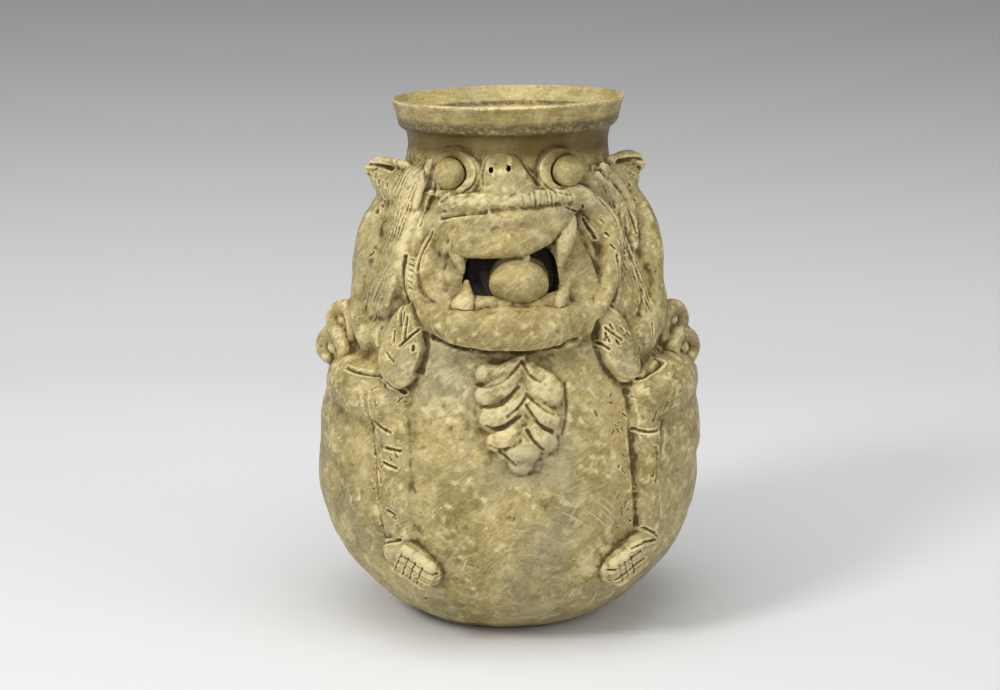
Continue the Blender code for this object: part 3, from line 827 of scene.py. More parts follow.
@dataclass
class Eyes(Part):
    """A ball of clay in a flat crescent that opens outwards, one each side, and the snout between."""

    middle: float = 0.3
    height: float = 245.7
    slope: float = 0.7
    to_middle: float = 30.3
    ball_radius: float = 8.0
    ball_out: float = 5.6
    ring_shift: float = 2.1
    ring_radius: float = 9.6
    ring_width: float = 3.4
    crescent_turns: tuple[int, int, int] = (128, -93, -15)
    crescent_tail: Roll = ((7, 0.6, 4.6, 1.6), (13.5, 1.0, 5, 1.1))
    nostril_radius: float = 1.6
    nostrils: Path = ((-8.6, 248.0), (0.3, 248.8))
    snout: Roll = ((-1, 235, 1.5, 16), (-2, 241, 1.5, 14.4), (-3.4, 246.5, 1.6, 12), (-4, 250, 1.4, 9.4))
    outlines: tuple[tuple[Path, float], ...] = (
        (((-37, 257), (-27, 258.4), (-19, 254.6), (-15, 248.4), (-16, 240), (-22, 236)), 0.8),
        (((35, 257), (26.5, 259), (18.6, 256), (14.6, 250), (14.8, 243), (20.5, 237.5), (29, 235)), 0.8),
        (((-11.6, 241), (-13, 246.5), (-11, 252.6), (-7.5, 256), (-3.8, 257), (1.2, 256.2), (6.2, 253.4),
          (9.7, 248.2), (13, 243)), 0.6))

    def lay(self, clay: Clay) -> None:
        """Lays the snout on the wall."""
        clay.rolls(clay.front, self.snout, flat=0.66, end=0.8)

    def dress(self, clay: Clay) -> None:
        """Lays the nostrils' rims and the two crescents.

        Args:
            clay: The clay that they join.
        """
        for x, height in self.nostrils:
            rim = ((x, height - 4, 5.4, 2.6), (x, height - 0.5, 5.6, 3.6), (x, height + 3, 4.4, 3.2))
            clay.rolls(clay.front, rim, sides=14)
        for side in Side:
            x = self.middle + side.value * (self.to_middle - self.ring_shift)
            middle = self.height + side.value * self.slope
            crescent = []
            for turn in range(*self.crescent_turns):
                a = math.radians(turn)
                swell = max(0.0, math.cos(a * 0.95))
                reach = self.ring_radius + 0.9 * swell
                crescent.append((
                    x - side.value * reach * math.cos(a), middle + reach * math.sin(a),
                    3, self.ring_width * (0.5 + 0.6 * swell)))
            for across, below, out, radius in self.crescent_tail:
                crescent.append((x + side.value * across, middle - self.ring_radius - below, out, radius))
            clay.rolls(clay.front, crescent, flat=0.85, steps=3, square=4)

    def lay_balls(self, clay: Clay) -> None:
        """Presses the eyeballs into the crescents.

        Args:
            clay: The clay that they are made of.
        """
        for side in Side:
            x = self.middle + side.value * self.to_middle
            middle = self.height + side.value * self.slope
            clay.ball(clay.front(x, middle, self.ball_out), (self.ball_radius,) * 3, 0.2)

    def cut_nostrils(self, clay: Clay) -> None:
        """Pokes the nostrils.

        Args:
            clay: The clay that the cutters are made of.
        """
        for x, height in self.nostrils:
            hole = ((x, height, -2, self.nostril_radius), (x, height, 14, self.nostril_radius * 1.15))
            clay.rolls(clay.front, hole, facing=Vector((1, 0, 0)), flat=0.72, end=0.4, sides=14, steps=2)

    def strokes(self) -> list[Stroke]:
        """Gives the grooves round the crescents and the snout."""
        return [Stroke(path, 1.0, depth, 0.0) for path, depth in self.outlines]


@dataclass
class Ear(Part):
    """A blunt cupped flap that stands out sideways, with a slot and pricks."""

    side: Side
    flaps: tuple[Roll, Roll] = (
        ((-64, 233, 0, 11), (-76, 236, 5, 10.5), (-84, 239, 12, 7.5), (-85, 240, 15, 5)),
        ((68, 236, 0, 11), (78, 239, 5.5, 10), (84, 242, 9.5, 7.4), (85.5, 243, 13, 5)))
    edges: tuple[Roll, Roll] = (
        ((-67, 245.5, 3, 2.2), (-76, 246.5, 8, 2.6), (-83, 245.5, 15, 2.8), (-86, 241, 18, 3)),
        ((71, 248, 3, 2.6), (78, 249.5, 8, 2.9), (83.5, 248.5, 13, 3), (86, 244, 15.5, 3)))
    slots: tuple[tuple, tuple] = (
        (((-86, 244.5), (-80, 244.2), (-74, 243)), 1.2, 1.6),
        (((72, 247), (78, 247.6), (85, 247)), 1.4, 1.8))
    pricks: tuple[Path, Path] = (
        ((-84, 239), (-80.4, 239.5), (-77, 237), (-71.5, 236), (-72, 230), (-72, 222)),
        ((76, 241), (80, 238), (83, 243), (72, 236), (70, 229)))

    def lay(self, clay: Clay) -> None:
        """Lays the ear's flap."""
        facing = Vector((0, -1, 0.25))
        clay.rolls(clay.around, self.side.pick(self.flaps), flat=0.6, facing=facing, square=2.6, end=0.6)

    def dress(self, clay: Clay) -> None:
        """Rolls the ear's top edge over its cup."""
        clay.rolls(clay.around, self.side.pick(self.edges), sides=14)

    def strokes(self) -> list[Stroke]:
        """Gives the slot and pricks in the ear."""
        slot = Stroke(*self.side.pick(self.slots))
        return [slot] + ticks(self.side.pick(self.pricks), 0.6, 1.4, 0.9, 1.3)


@dataclass
class Mane(Part):
    """The sheet of hair that hangs from the ear beside the face, with locks and combed strokes."""

    side: Side
    strands: int = 90
    lengths: Place = (4, 20)
    stops: tuple[float, ...] = (0, 0.35, 0.7, 1)
    droop: float = 1.4
    sheets: tuple[Pad, Pad] = ((63, 222, -2, 23, 24, 10), (60, 192, -3, 22, 28, 12))
    sheet_turns: Place = (-6, -4)
    inner_locks: tuple[tuple[Roll, ...], tuple[Roll, ...]] = (
        (((-46, 222, 4, 4), (-46.5, 205, 6, 5.5), (-48, 190, 6, 6), (-50, 176, 5, 6)),), ())
    locks: tuple[tuple[Roll, ...], tuple[Roll, ...]] = (
        (((-45, 217, 8, 1.6), (-45.5, 205, 9.6, 2.2), (-46, 190, 9.6, 2.4), (-46.5, 178, 9, 1.8)),
         ((-43.5, 250, 4, 1.8), (-44.5, 243, 6, 2.4), (-46, 233, 6.5, 2.2), (-47, 224, 6, 1.6))),
        (((52, 242, 4, 2.4), (57, 232, 7.5, 3.8), (60, 221, 8.5, 3.4), (60, 214, 8, 2)),
         ((58, 246, 4, 2.6), (64.5, 234, 8, 4), (66, 221, 9.5, 4), (61, 206, 9, 3))))
    gaps: tuple[tuple, tuple] = (
        ((((-49, 250), (-44, 245), (-41.5, 240), (-41.5, 228), (-40, 219)), 1.3, 1.5),
         (((-49.9, 208.3), (-51.5, 198), (-53.3, 187.7)), 1.3, 1.6),
         (((-43, 203), (-42.5, 190), (-41, 178), (-38, 170)), 1.3, 1.2),
         (((-36.7, 238), (-37.4, 234.5)), 1.6, 1.4)),
        ((((44.5, 231), (49, 225), (52, 215), (53.5, 203)), 1.2, 1.4),
         (((54.3, 243.5), (55.5, 239.5)), 2.0, 2.2),
         (((56, 239), (60.5, 230), (63, 219), (62, 212)), 1.1, 1.4),
         (((54.2, 214.4), (54.6, 205.3)), 1.0, 1.6),
         (((47, 203), (46, 190), (43, 180)), 1.4, 1.1)))

    def lay(self, clay: Clay) -> None:
        """Lays the sheet of hair.

        Args:
            clay: The clay that it joins.
        """
        sign = self.side.value
        for (azimuth, *sizes), turn in zip(self.sheets, self.sheet_turns):
            clay.pad(sign * azimuth, *sizes, roll=sign * turn, square=2.4)
        clay.rolls(clay.around, *self.side.pick(self.inner_locks))

    def dress(self, clay: Clay) -> None:
        """Lays the locks on the sheet."""
        clay.rolls(clay.around, *self.side.pick(self.locks), flat=0.8, sides=14)

    def strokes(self) -> list[Stroke]:
        """Combs the hair with many short strokes, and opens the gaps between locks.

        Returns:
            Grooves and short strokes.
        """
        sign = self.side.value
        rng = np.random.default_rng(40 + sign)
        marks = []
        for _ in range(self.strands):
            height = rng.uniform(180, 251)
            azimuth = rng.uniform(46 + 3 * ((height - 172) / 78), 74 if height > 232 else 59)
            length = rng.uniform(*self.lengths)
            lean = 0.12 * (60 - azimuth) * length / 10 + rng.uniform(-0.8, 1.2)
            path = tuple(
                (sign * (azimuth + lean * stop ** self.droop), height - length * stop)
                for stop in self.stops)
            marks.append(Stroke(path, rng.uniform(0.7, 1.2), rng.uniform(0.08, 0.24), 0.5))
        return marks + [Stroke(*gap) for gap in self.side.pick(self.gaps)]


@dataclass
class Arm(Part):
    """An upper arm down the flank, a short forearm and a mitt-like paw held up at the chest."""

    side: Side
    scratches: Nicks = Nicks(60, (150, 228), (60, 86), 0.8, 2.6)
    slot_width: float = 0.95
    paw_roll: float = 5.0
    soft_paw_out: float = 1.5
    soft_paw_depth: float = 7
    paw_out: float = 3
    paw_depth: float = 6.8
    paws: tuple[tuple, tuple] = ((-37.8, 158.5, 12.8, 21.0), (39.7, 158.8, 11.2, 19.0))
    uppers: tuple[Roll, Roll] = (
        ((-79, 226, 0.5, 10.5), (-78, 212, 2, 13.5), (-76, 198, 0.5, 14.5), (-72, 182, -3.5, 14.5),
         (-66, 169, -4, 13.5), (-59, 161, -4, 12)),
        ((78, 228, 1.5, 11), (77, 215, 3.5, 13.6), (76, 202, 2.5, 14.5), (73, 186, -2.5, 14.5),
         (68, 174, -3, 14), (62, 167, -2.5, 13)))
    forearms: tuple[Roll, Roll] = (
        ((-62, 163, -6, 12), (-50, 161, -5.5, 11.5), (-42, 159, -5, 10.5)),
        ((66, 168, -4, 13), (57, 162, -3, 12.5), (47, 158, -3, 11.5)))
    slots: tuple[tuple, tuple] = (
        ((((-36.5, 174), (-35.6, 169), (-34.8, 163.6)), 1.9),
         (((-31.3, 168.5), (-33.5, 164.5), (-36, 160)), 1.9),
         (((-39.6, 166.6), (-38.6, 161.5)), 1.5), (((-31.5, 160.5), (-31.3, 158.6)), 1.4),
         (((-40.4, 156), (-37, 152.4)), 0.9), (((-38.5, 175.5), (-37.5, 172)), 0.9),
         (((-50, 208), (-51.5, 198), (-53.5, 188), (-55, 178)), 1.6)),
        ((((36.3, 170.4), (36.8, 168.4)), 1.6), (((34.4, 169), (36.6, 166), (38.9, 162.8)), 1.9),
         (((40, 168.2), (40.6, 166.6)), 1.6), (((42.3, 165.4), (43, 163.6)), 1.4),
         (((34.2, 164.6), (34.4, 162.6)), 1.4), (((36.8, 162.6), (37.4, 161)), 1.4),
         (((31.9, 161), (33.8, 158.8)), 1.5), (((54.8, 167), (53.6, 161.4)), 2.0),
         (((47, 156.6), (47.2, 155.2)), 1.2), (((44.1, 152.4), (44.2, 151)), 1.2),
         (((34, 166.6), (33.2, 163)), 1.2), (((56.8, 147.8), (49, 143.4), (42, 141.8)), 2.2)))
    bends: tuple[tuple[Path, ...], tuple[Path, ...]] = (
        (((-37, 180.5), (-32.5, 172), (-29.6, 164.8), (-28.4, 156), (-29.5, 147)),
         ((-48, 166), (-48, 156), (-45, 147), (-40, 140))),
        (((56, 205), (57, 192), (56, 180), (52, 172)),
         ((32.6, 172), (31.4, 162), (32.4, 152), (35, 144), (40.8, 140.8))))

    def lay(self, clay: Clay) -> None:
        """Lays the arm and its paw.

        Args:
            clay: The clay that they join.
        """
        clay.rolls(clay.around, self.side.pick(self.uppers), self.side.pick(self.forearms))
        azimuth, height, half_width, half_height = self.side.pick(self.paws)
        clay.pad(
            azimuth, height, self.soft_paw_out, half_width, half_height - 1, self.soft_paw_depth,
            roll=self.paw_roll)

    def dress(self, clay: Clay) -> None:
        """Presses the flat mitt of the paw on the forearm.

        Args:
            clay: The clay that it joins.
        """
        azimuth, height, *half_sizes = self.side.pick(self.paws)
        clay.pad(
            azimuth, height, self.paw_out, *half_sizes, self.paw_depth, roll=self.paw_roll,
            square=2.2, dome=0.7)

    def strokes(self) -> list[Stroke]:
        """Gives the slots between the fingers, the bends of the arm and the nicks along it."""
        marks = [Stroke(path, self.slot_width, depth) for path, depth in self.side.pick(self.slots)]
        return marks + folds(self.side.pick(self.bends)) + self.scratches.over(self.side)


@dataclass
class Leg(Part):
    """A haunch swelling from the belly, a raised knee, a shin down to the foot, and its toes."""

    side: Side
    scratches: Nicks = Nicks(80, (66, 138), (33, 43), 1, 3)
    crease_width: float = 1.05
    toes: int = 4
    toe_pitch: float = 5.0
    toe_root: float = 4.0
    toe_reach: float = 12.5
    toe_fall: float = 1.2
    toe_out_radius: Place = (6.6, 3.0)
    foot_sizes: tuple[float, float, float, float] = (1, 17, 11, 7.6)
    foot_height: float = 49.0
    foot_turn: float = 35.0
    foot_azimuths: Place = (-30.3, 39.8)
    haunches: tuple[Place, Place] = ((-64, 4), (68, 6))
    haunch_sizes: Place = (62, 52)
    haunch_depth: float = 20
    thighs: tuple[Roll, Roll] = (
        ((-80, 131, -8.5, 14), (-66, 132, -6, 16.5), (-53, 131, -5, 17), (-43, 127, -5, 14)),
        ((84, 130, -5.5, 15), (70, 132, -5, 17.5), (57, 131, -3.5, 17.5), (48, 128, -3.5, 14)))
    shins: tuple[tuple[Roll, ...], tuple[Roll, ...]] = (
        (((-41, 134, -2.2, 11), (-37, 114, -1.3, 11), (-34.5, 92, -1.2, 10.5), (-33.5, 66, -1.2, 9.5)),),
        (((47, 135, 0, 10.5), (44.5, 120, 0.5, 9.6)),
         ((44.3, 113, 2, 8.2), (43.8, 95, 1.5, 7.6), (44.3, 80, 1, 7.4), (44.8, 64, 1, 7.2))))
    shin_flats: Place = (0.62, 0.8)
    crisp_shins: tuple[tuple[Roll, ...], tuple[Roll, ...]] = (
        (), (((44.3, 113, 1.6, 7.8), (43.8, 95, 1.2, 7), (44.3, 80, 0.9, 6.8), (44.8, 66, 0.9, 6.6)),))
    creases: tuple[tuple, tuple] = (
        ((((-57.9, 144.3), (-50.2, 143.5), (-40.6, 143), (-34, 136.2)), 1.7),
         (((-42.8, 121.1), (-39, 119), (-35.2, 117.2)), 1.0), (((-36.3, 109.4), (-31.7, 108.5)), 1.3),
         (((-36.5, 101.8), (-32.3, 99.8)), 1.3), (((-42.6, 107.8), (-42.2, 103.3)), 1.1),
         (((-38.6, 97.9), (-37.3, 91)), 1.2), (((-39.8, 80.8), (-38.6, 74), (-37.8, 68)), 1.2),
         (((-35.1, 77.2), (-32.8, 75.2)), 1.3), (((-39.2, 57.4), (-34.8, 60.5), (-31.7, 62)), 1.3)),
        ((((39.5, 117.2), (42, 116), (45, 115.8), (49, 117)), 1.2),
         (((44, 108), (44.6, 100), (43.4, 90)), 0.5),
         (((41.6, 65.5), (46.4, 60), (51.9, 55.7)), 1.3), (((36.6, 56.7), (40.4, 58.6), (47.6, 57.1)), 1.6),
         (((47, 125), (45, 121)), 0.8), (((52, 128), (50.6, 124)), 0.9)))
    bends: tuple[tuple[Path, ...], tuple[Path, ...]] = (
        (((-45.5, 134), (-44, 120), (-41.8, 107), (-40.4, 92), (-39.6, 78), (-39, 66)),),
        (((40, 136), (39.4, 122), (38.8, 106), (38.8, 90), (39.4, 76), (40, 67)),
         ((51.5, 118), (49.6, 106), (49, 92), (49.4, 78), (50, 66))))
    cuts_across: tuple[tuple, tuple] = ((-9, -5, -1.2, 3), (-11, -8, -4))
    cuts_along: tuple[tuple, tuple] = ((-4.2, 0.2, 4.4), (-5.6, -2.4, 1, 4.2))

    def toe(self, along: float, across: float) -> Place:
        """Gives a place on the foot.

        Args:
            along: Distance from the foot's middle towards the heel.
            across: Distance up across the foot.

        Returns:
            Azimuth and height.
        """
        turn = math.radians(self.side.value * self.foot_turn)
        sideways = self.side.value * along * math.cos(turn) - across * math.sin(turn)
        height = self.foot_height + (self.side.value * along * math.sin(turn) + across * math.cos(turn))
        shift = math.degrees(sideways / TurnedWall().radius(height))
        return self.side.pick(self.foot_azimuths) + shift, height

    def lay(self, clay: Clay) -> None:
        """Lays the haunch, the thigh and the shin.

        Args:
            clay: The clay that they join.
        """
        azimuth, out = self.side.pick(self.haunches)
        clay.pad(azimuth, 120, -self.haunch_depth, *self.haunch_sizes, self.haunch_depth + out, dome=1)
        clay.rolls(clay.around, self.side.pick(self.thighs), flat=0.9)
        clay.rolls(clay.around, *self.side.pick(self.shins), flat=self.side.pick(self.shin_flats))

    def dress(self, clay: Clay) -> None:
        """Lays the crisp shin of the right leg, and both feet with their toes.

        Args:
            clay: The clay that they join.
        """
        clay.rolls(clay.around, *self.side.pick(self.crisp_shins), flat=0.95)
        clay.pad(
            self.side.pick(self.foot_azimuths), self.foot_height, *self.foot_sizes,
            roll=self.side.value * self.foot_turn, square=2.4, dome=0.7)
        for toe in range(self.toes):
            off = toe - (self.toes - 1) / 2
            reaches = (self.toe_root, self.toe_fall * abs(off) - self.toe_reach)
            rolled = [(*self.toe(along, off * self.toe_pitch), *self.toe_out_radius) for along in reaches]
            clay.rolls(clay.around, rolled, sides=14)

    def strokes(self) -> list[Stroke]:
        """Gives the creases of the thigh, the dashes on the shin and the cuts on the foot.

        Returns:
            Creases, dashes, cuts and nicks.
        """
        marks = [Stroke(path, self.crease_width, depth) for path, depth in self.side.pick(self.creases)]
        marks += folds(self.side.pick(self.bends))
        for across in self.side.pick(self.cuts_along):
            marks.append(Stroke((self.toe(3, across), self.toe(-14, across * 1.1)), width=0.85, depth=1.2))
        for along in self.side.pick(self.cuts_across):
            marks.append(Stroke((self.toe(along, -7), self.toe(along + 1, 6)), width=0.7, depth=0.8))
        return marks + self.scratches.over(self.side)


@dataclass
class Wing(Part):
    """Two curled feather tips behind the elbow, with plainer feathers swept back from them."""

    side: Side
    feathers: int = 4
    barbs: int = 7
    pads: tuple[Pad, Pad] = ((75, 163, 1, 8, 8, 6.5), (76, 149, 0, 9, 8, 6.5))
    curls: tuple[Roll, Roll] = (
        ((70, 156, 1, 3.9), (70, 164.5, 4.5, 4.2), (74.5, 170.2, 8, 4.3), (80, 168.2, 11, 4.1),
         (82, 162, 11, 3.7), (78.5, 158.6, 8.5, 3.0)),
        ((70, 140, 0, 4.3), (70, 149, 3.5, 4.7), (75, 155.6, 7, 4.8), (82, 153.4, 10.5, 4.7),
         (84.5, 146, 10.5, 4.3), (79.5, 142, 7, 3.4)))
    fillings: tuple[Roll, Roll] = (
        ((74, 163.5, 0, 5), (76, 163.5, 6.5, 3.6)), ((75.5, 148.5, 0, 5), (77.5, 148.5, 6.5, 3.6)))

    def lay(self, clay: Clay) -> None:
        """Lays the pads behind the curls and the feathers.

        Args:
            clay: The clay that they join.
        """
        sign = self.side.value
        for azimuth, *sizes in self.pads:
            clay.pad(sign * azimuth, *sizes, dome=0.9)
        for index in range(self.feathers):
            rise = 7.5 * index
            feather = (
                (sign * 80, 144 + rise, 1.5, 5.4), (sign * 97, 142 + rise * 1.1, 2, 5.4),
                (sign * (118 - 5 * index), 148 + rise * 1.3, 0.5, 4))
            clay.rolls(clay.around, feather, flat=0.8, sides=14)

    def dress(self, clay: Clay) -> None:
        """Curls the two feather tips over and fills their middles.

        Args:
            clay: The clay that they join.
        """
        for table in self.curls + self.fillings:
            curl = [(self.side.value * azimuth, *rest) for azimuth, *rest in table]
            clay.rolls(clay.around, curl, sides=14)

    def strokes(self) -> list[Stroke]:
        """Gives the barbs of the feathers.

        Returns:
            Short strokes.
        """
        sign = self.side.value
        marks = []
        for index in range(self.feathers):
            for barb in range(self.barbs):
                azimuth = 86 + barb * (4.2 - 0.4 * index)
                height = 143.5 + 7.9 * index + 0.12 * (azimuth - 92)
                path = ((sign * azimuth, height + 2.6), (sign * (azimuth + 1.6), height - 1.8))
                marks.append(Stroke(path, width=0.65, depth=0.6, burr=0.3))
        return marks


@dataclass
class Beard(Part):
    """A leaf-shaped tuft under the jaw, with lobes either side of a midrib."""

    upper_pad: Pad = (4, 134, -2.5, 21.5, 25, 5.4)
    tip_pad: Pad = (4.5, 115, -2.5, 14, 15, 5)
    lobes: tuple[Roll, ...] = (
        ((7, 155, 0, 3), (-2, 150, 1.6, 4.5), (-11, 148, 0.4, 5.4)),
        ((6, 150, 0.6, 3), (-2, 142.5, 2.2, 5.2), (-11, 138.4, 0.9, 5.6)),
        ((7, 138, 0.6, 3), (-1, 130, 2.4, 5.2), (-9, 126.6, 0.9, 5.4)),
        ((7, 126, 0.6, 3), (0, 118.5, 2.4, 5), (-6, 115.8, 0.9, 5)),
        ((11, 150, 0.6, 5), (16, 144, 1.8, 8), (20, 139, 0.8, 8.4)),
        ((10, 137, 0.6, 3), (16.5, 129, 2.2, 5.4), (21, 125.5, 0.8, 5.6)),
        ((10, 127, 0.6, 3), (15.5, 118, 2.2, 5.2), (19.5, 115, 0.6, 5.4)),
        ((7.5, 120, 0.4, 5), (7.6, 112, 1.4, 8.6), (6.8, 106, 0.4, 7)))
    creases: tuple[Path, ...] = (
        ((4.5, 155), (2.5, 151), (-1, 146.5), (-5, 143.6), (-10, 143)),
        ((3.2, 142.6), (0, 137.2), (-3, 134), (-8, 132.5)), ((5.2, 137.5), (4, 134), (0, 129)),
        ((3.4, 128.6), (0, 124.6), (-3.5, 122), (-6.2, 123.6)),
        ((3.4, 117.4), (0.6, 113.6), (-2.4, 111.8), (-5.2, 114)), ((-2.4, 111), (0, 108), (2, 105)),
        ((4.7, 155), (5.5, 151.5), (7, 148), (9.5, 146)),
        ((5.6, 139), (8.4, 135), (11, 131.6), (13.4, 129.8)),
        ((5.4, 134), (7, 129.5), (9.6, 123.4), (13, 120.4)), ((5.4, 122), (7.4, 116.6), (9.8, 112.6)))
    right_edge: Path = ((18.4, 143), (18.6, 134), (17.8, 126), (16.4, 119))

    def lay(self, clay: Clay) -> None:
        """Lays the beard's two pads."""
        clay.pad(*self.upper_pad, square=2.4)
        clay.pad(*self.tip_pad)

    def dress(self, clay: Clay) -> None:
        """Lays the overlapping lobes either side of the midrib."""
        clay.rolls(clay.front, *self.lobes, flat=0.66, sides=14)

    def strokes(self) -> list[Stroke]:
        """Sharpens the creases between the lobes and the beard's right edge."""
        marks = [Stroke(crease, width=1.3, depth=0.85, burr=0.12) for crease in self.creases]
        return marks + [Stroke(self.right_edge, width=1.6, depth=0.7, burr=0.0)]


@dataclass
class Back(Part):
    """The plain back: a spine that runs down to a curled tail."""

    azimuth: float = 180.0

    def lay(self, clay: Clay) -> None:
        """Lays the spine and the tail.

        Args:
            clay: The clay that they join.
        """
        spine = [(self.azimuth, height, 0.5, 5.0) for height in (240, 200, 160, 120, 84)]
        for turn in range(0, 271, 45):
            a = math.radians(turn)
            spine.append((self.azimuth - 8 * (1 - math.cos(a)), 66 - 13 * math.sin(a), 1, 4.8 - turn / 180))
        clay.rolls(clay.around, spine, flat=0.85)


@dataclass(frozen=True)
class Value:
    """What a node gives: a number, a vector or a colour, to be reckoned with in plain sums."""

    bench: Bench
    socket: bpy.types.NodeSocket

    def __add__(self, other: object) -> Value:
        """Adds a value or a number."""
        return self.bench.maths("ADD", self, other)

    __radd__ = __add__

    def __mul__(self, other: object) -> Value:
        """Multiplies by a value or a number."""
        return self.bench.maths("MULTIPLY", self, other)

    def __sub__(self, other: object) -> Value:
        """Takes away a value or a number."""
        return self.bench.maths("SUBTRACT", self, other)

    def __rsub__(self, other: object) -> Value:
        """Takes this away from a number."""
        return self.bench.maths("SUBTRACT", other, self)

    def held(self) -> Value:
        """Holds what the last sum gives within 0 to 1."""
        self.socket.node.use_clamp = True
        return self

    def most(self, other: Value) -> Value:
        """Gives the greater of two."""
        return self.bench.maths("MAXIMUM", self, other)

    def ramp(self, low: float, high: float) -> Value:
        """Eases this from 0 at low to 1 at high."""
        inputs = {"Value": self, "From Min": low, "From Max": high}
        return self.bench.add("MapRange", inputs, interpolation_type="SMOOTHSTEP")

    def mixed(self, share: object, other: object) -> Value:
        """Mixes a share of another colour into this one."""
        return self.bench.mix(share, self, other)

    def tinted(self, tint: Colour) -> Value:
        """Multiplies this colour by a tint."""
        return self.bench.mix(1.0, self, tint, "MULTIPLY")

    def drawn_out(self, turn: float, stretch: float) -> Value:
        """Draws coordinates out across the jar, so that the marks in them become long.

        Args:
            turn: The angle that the marks lie at.
            stretch: How many times longer they become.

        Returns:
            The new coordinates.
        """
        turned = self.bench.add(
            "VectorRotate", {"Vector": self, "Axis": (0.15, 1.0, 0.1), "Angle": math.radians(turn)},
            rotation_type="AXIS_ANGLE")
        thin = (1.0 / stretch, 1.0 / stretch, 1.0)
        return self.bench.add("VectorMath", {0: turned, 1: thin}, operation="MULTIPLY")


class Bench:
    """Where the nodes of one material are laid out, with its object coordinates at hand."""

    def __init__(self, name: str) -> None:
        """Starts a material.

        Args:
            name: The material's name.
        """
        self.material = bpy.data.materials.new(name)
        self.material.use_nodes = True
        self.tree = self.material.node_tree
        self.place = self.add("TexCoord", {}, "Object")
        split = self.add("SeparateXYZ", {"Vector": self.place}).socket.node
        self.x, self.y, self.z = (Value(self, socket) for socket in split.outputs)

    def feed(self, node: bpy.types.Node, inputs: dict[int | str, object]) -> None:
        """Links values to a node's inputs, or sets them.

        Args:
            node: The node.
            inputs: A value, number or colour for each input's name or index.
        """
        for key, value in inputs.items():
            if isinstance(value, Value):
                self.tree.links.new(value.socket, node.inputs[key])
            else:
                node.inputs[key].default_value = value

    def add(
            self, kind: str, inputs: dict[int | str, object], output: int | str = 0,
            **settings: object) -> Value:
        """Adds a node.

        Args:
            kind: The node's type without its ShaderNode prefix.
            inputs: What feeds its inputs.
            output: Which of its outputs is wanted.
            settings: The node's own properties.

        Returns:
            The output.
        """
        node = self.tree.nodes.new("ShaderNode" + kind)
        for name, value in settings.items():
            setattr(node, name, value)
        self.feed(node, inputs)
        return Value(self, node.outputs[output])

    def maths(self, operation: str, *values: object) -> Value:
        """Adds a Math node."""
        return self.add("Math", dict(enumerate(values)), operation=operation)

    def mix(self, share: object, one: object, other: object, mode: str = "MIX") -> Value:
        """Mixes a share of the other colour into the one."""
        inputs = {0: share, 6: one, 7: other}
        return self.add("Mix", inputs, 2, data_type="RGBA", blend_type=mode)

    def noise(
            self, vector: Value, scale: float, detail: float = 4.0, roughness: float = 0.55,
            distortion: float = 0.0) -> Value:
        """Adds a noise texture.

        Args:
            vector: The coordinates that it is read at.
            scale: Waves in a metre.
            detail: How many finer layers lie on it.
            roughness: How strong those are.
            distortion: How far it is stirred.

        Returns:
            Its value, which strays both ways from a half.
        """
        return self.add("TexNoise", {
            "Vector": vector, "Scale": scale, "Detail": detail, "Roughness": roughness,
            "Distortion": distortion})

    def vector(self, x: object, y: object, z: object) -> Value:
        """Combines three values."""
        return self.add("CombineXYZ", {"X": x, "Y": y, "Z": z})

    def reading(self, name: str) -> Value:
        """Reads one of the mesh's attributes."""
        return self.add("Attribute", {}, "Fac", attribute_name=name)

    def swayed(self, scale: float, amount: float) -> Value:
        """Bends the object coordinates, so that what is drawn in them sways as a hand does."""
        sway = self.add("TexNoise", {"Vector": self.place, "Scale": scale, "Detail": 2.0}, 1)
        return self.add("VectorMath", {0: sway, 1: (amount,) * 3, 2: self.place}, operation="MULTIPLY_ADD")

    def finish(self, **inputs: object) -> bpy.types.Material:
        """Feeds the shader, whose inputs are named with _ for a space, and gives the material."""
        self.feed(self.tree.nodes["Principled BSDF"], {k.replace("_", " "): v for k, v in inputs.items()})
        return self.material


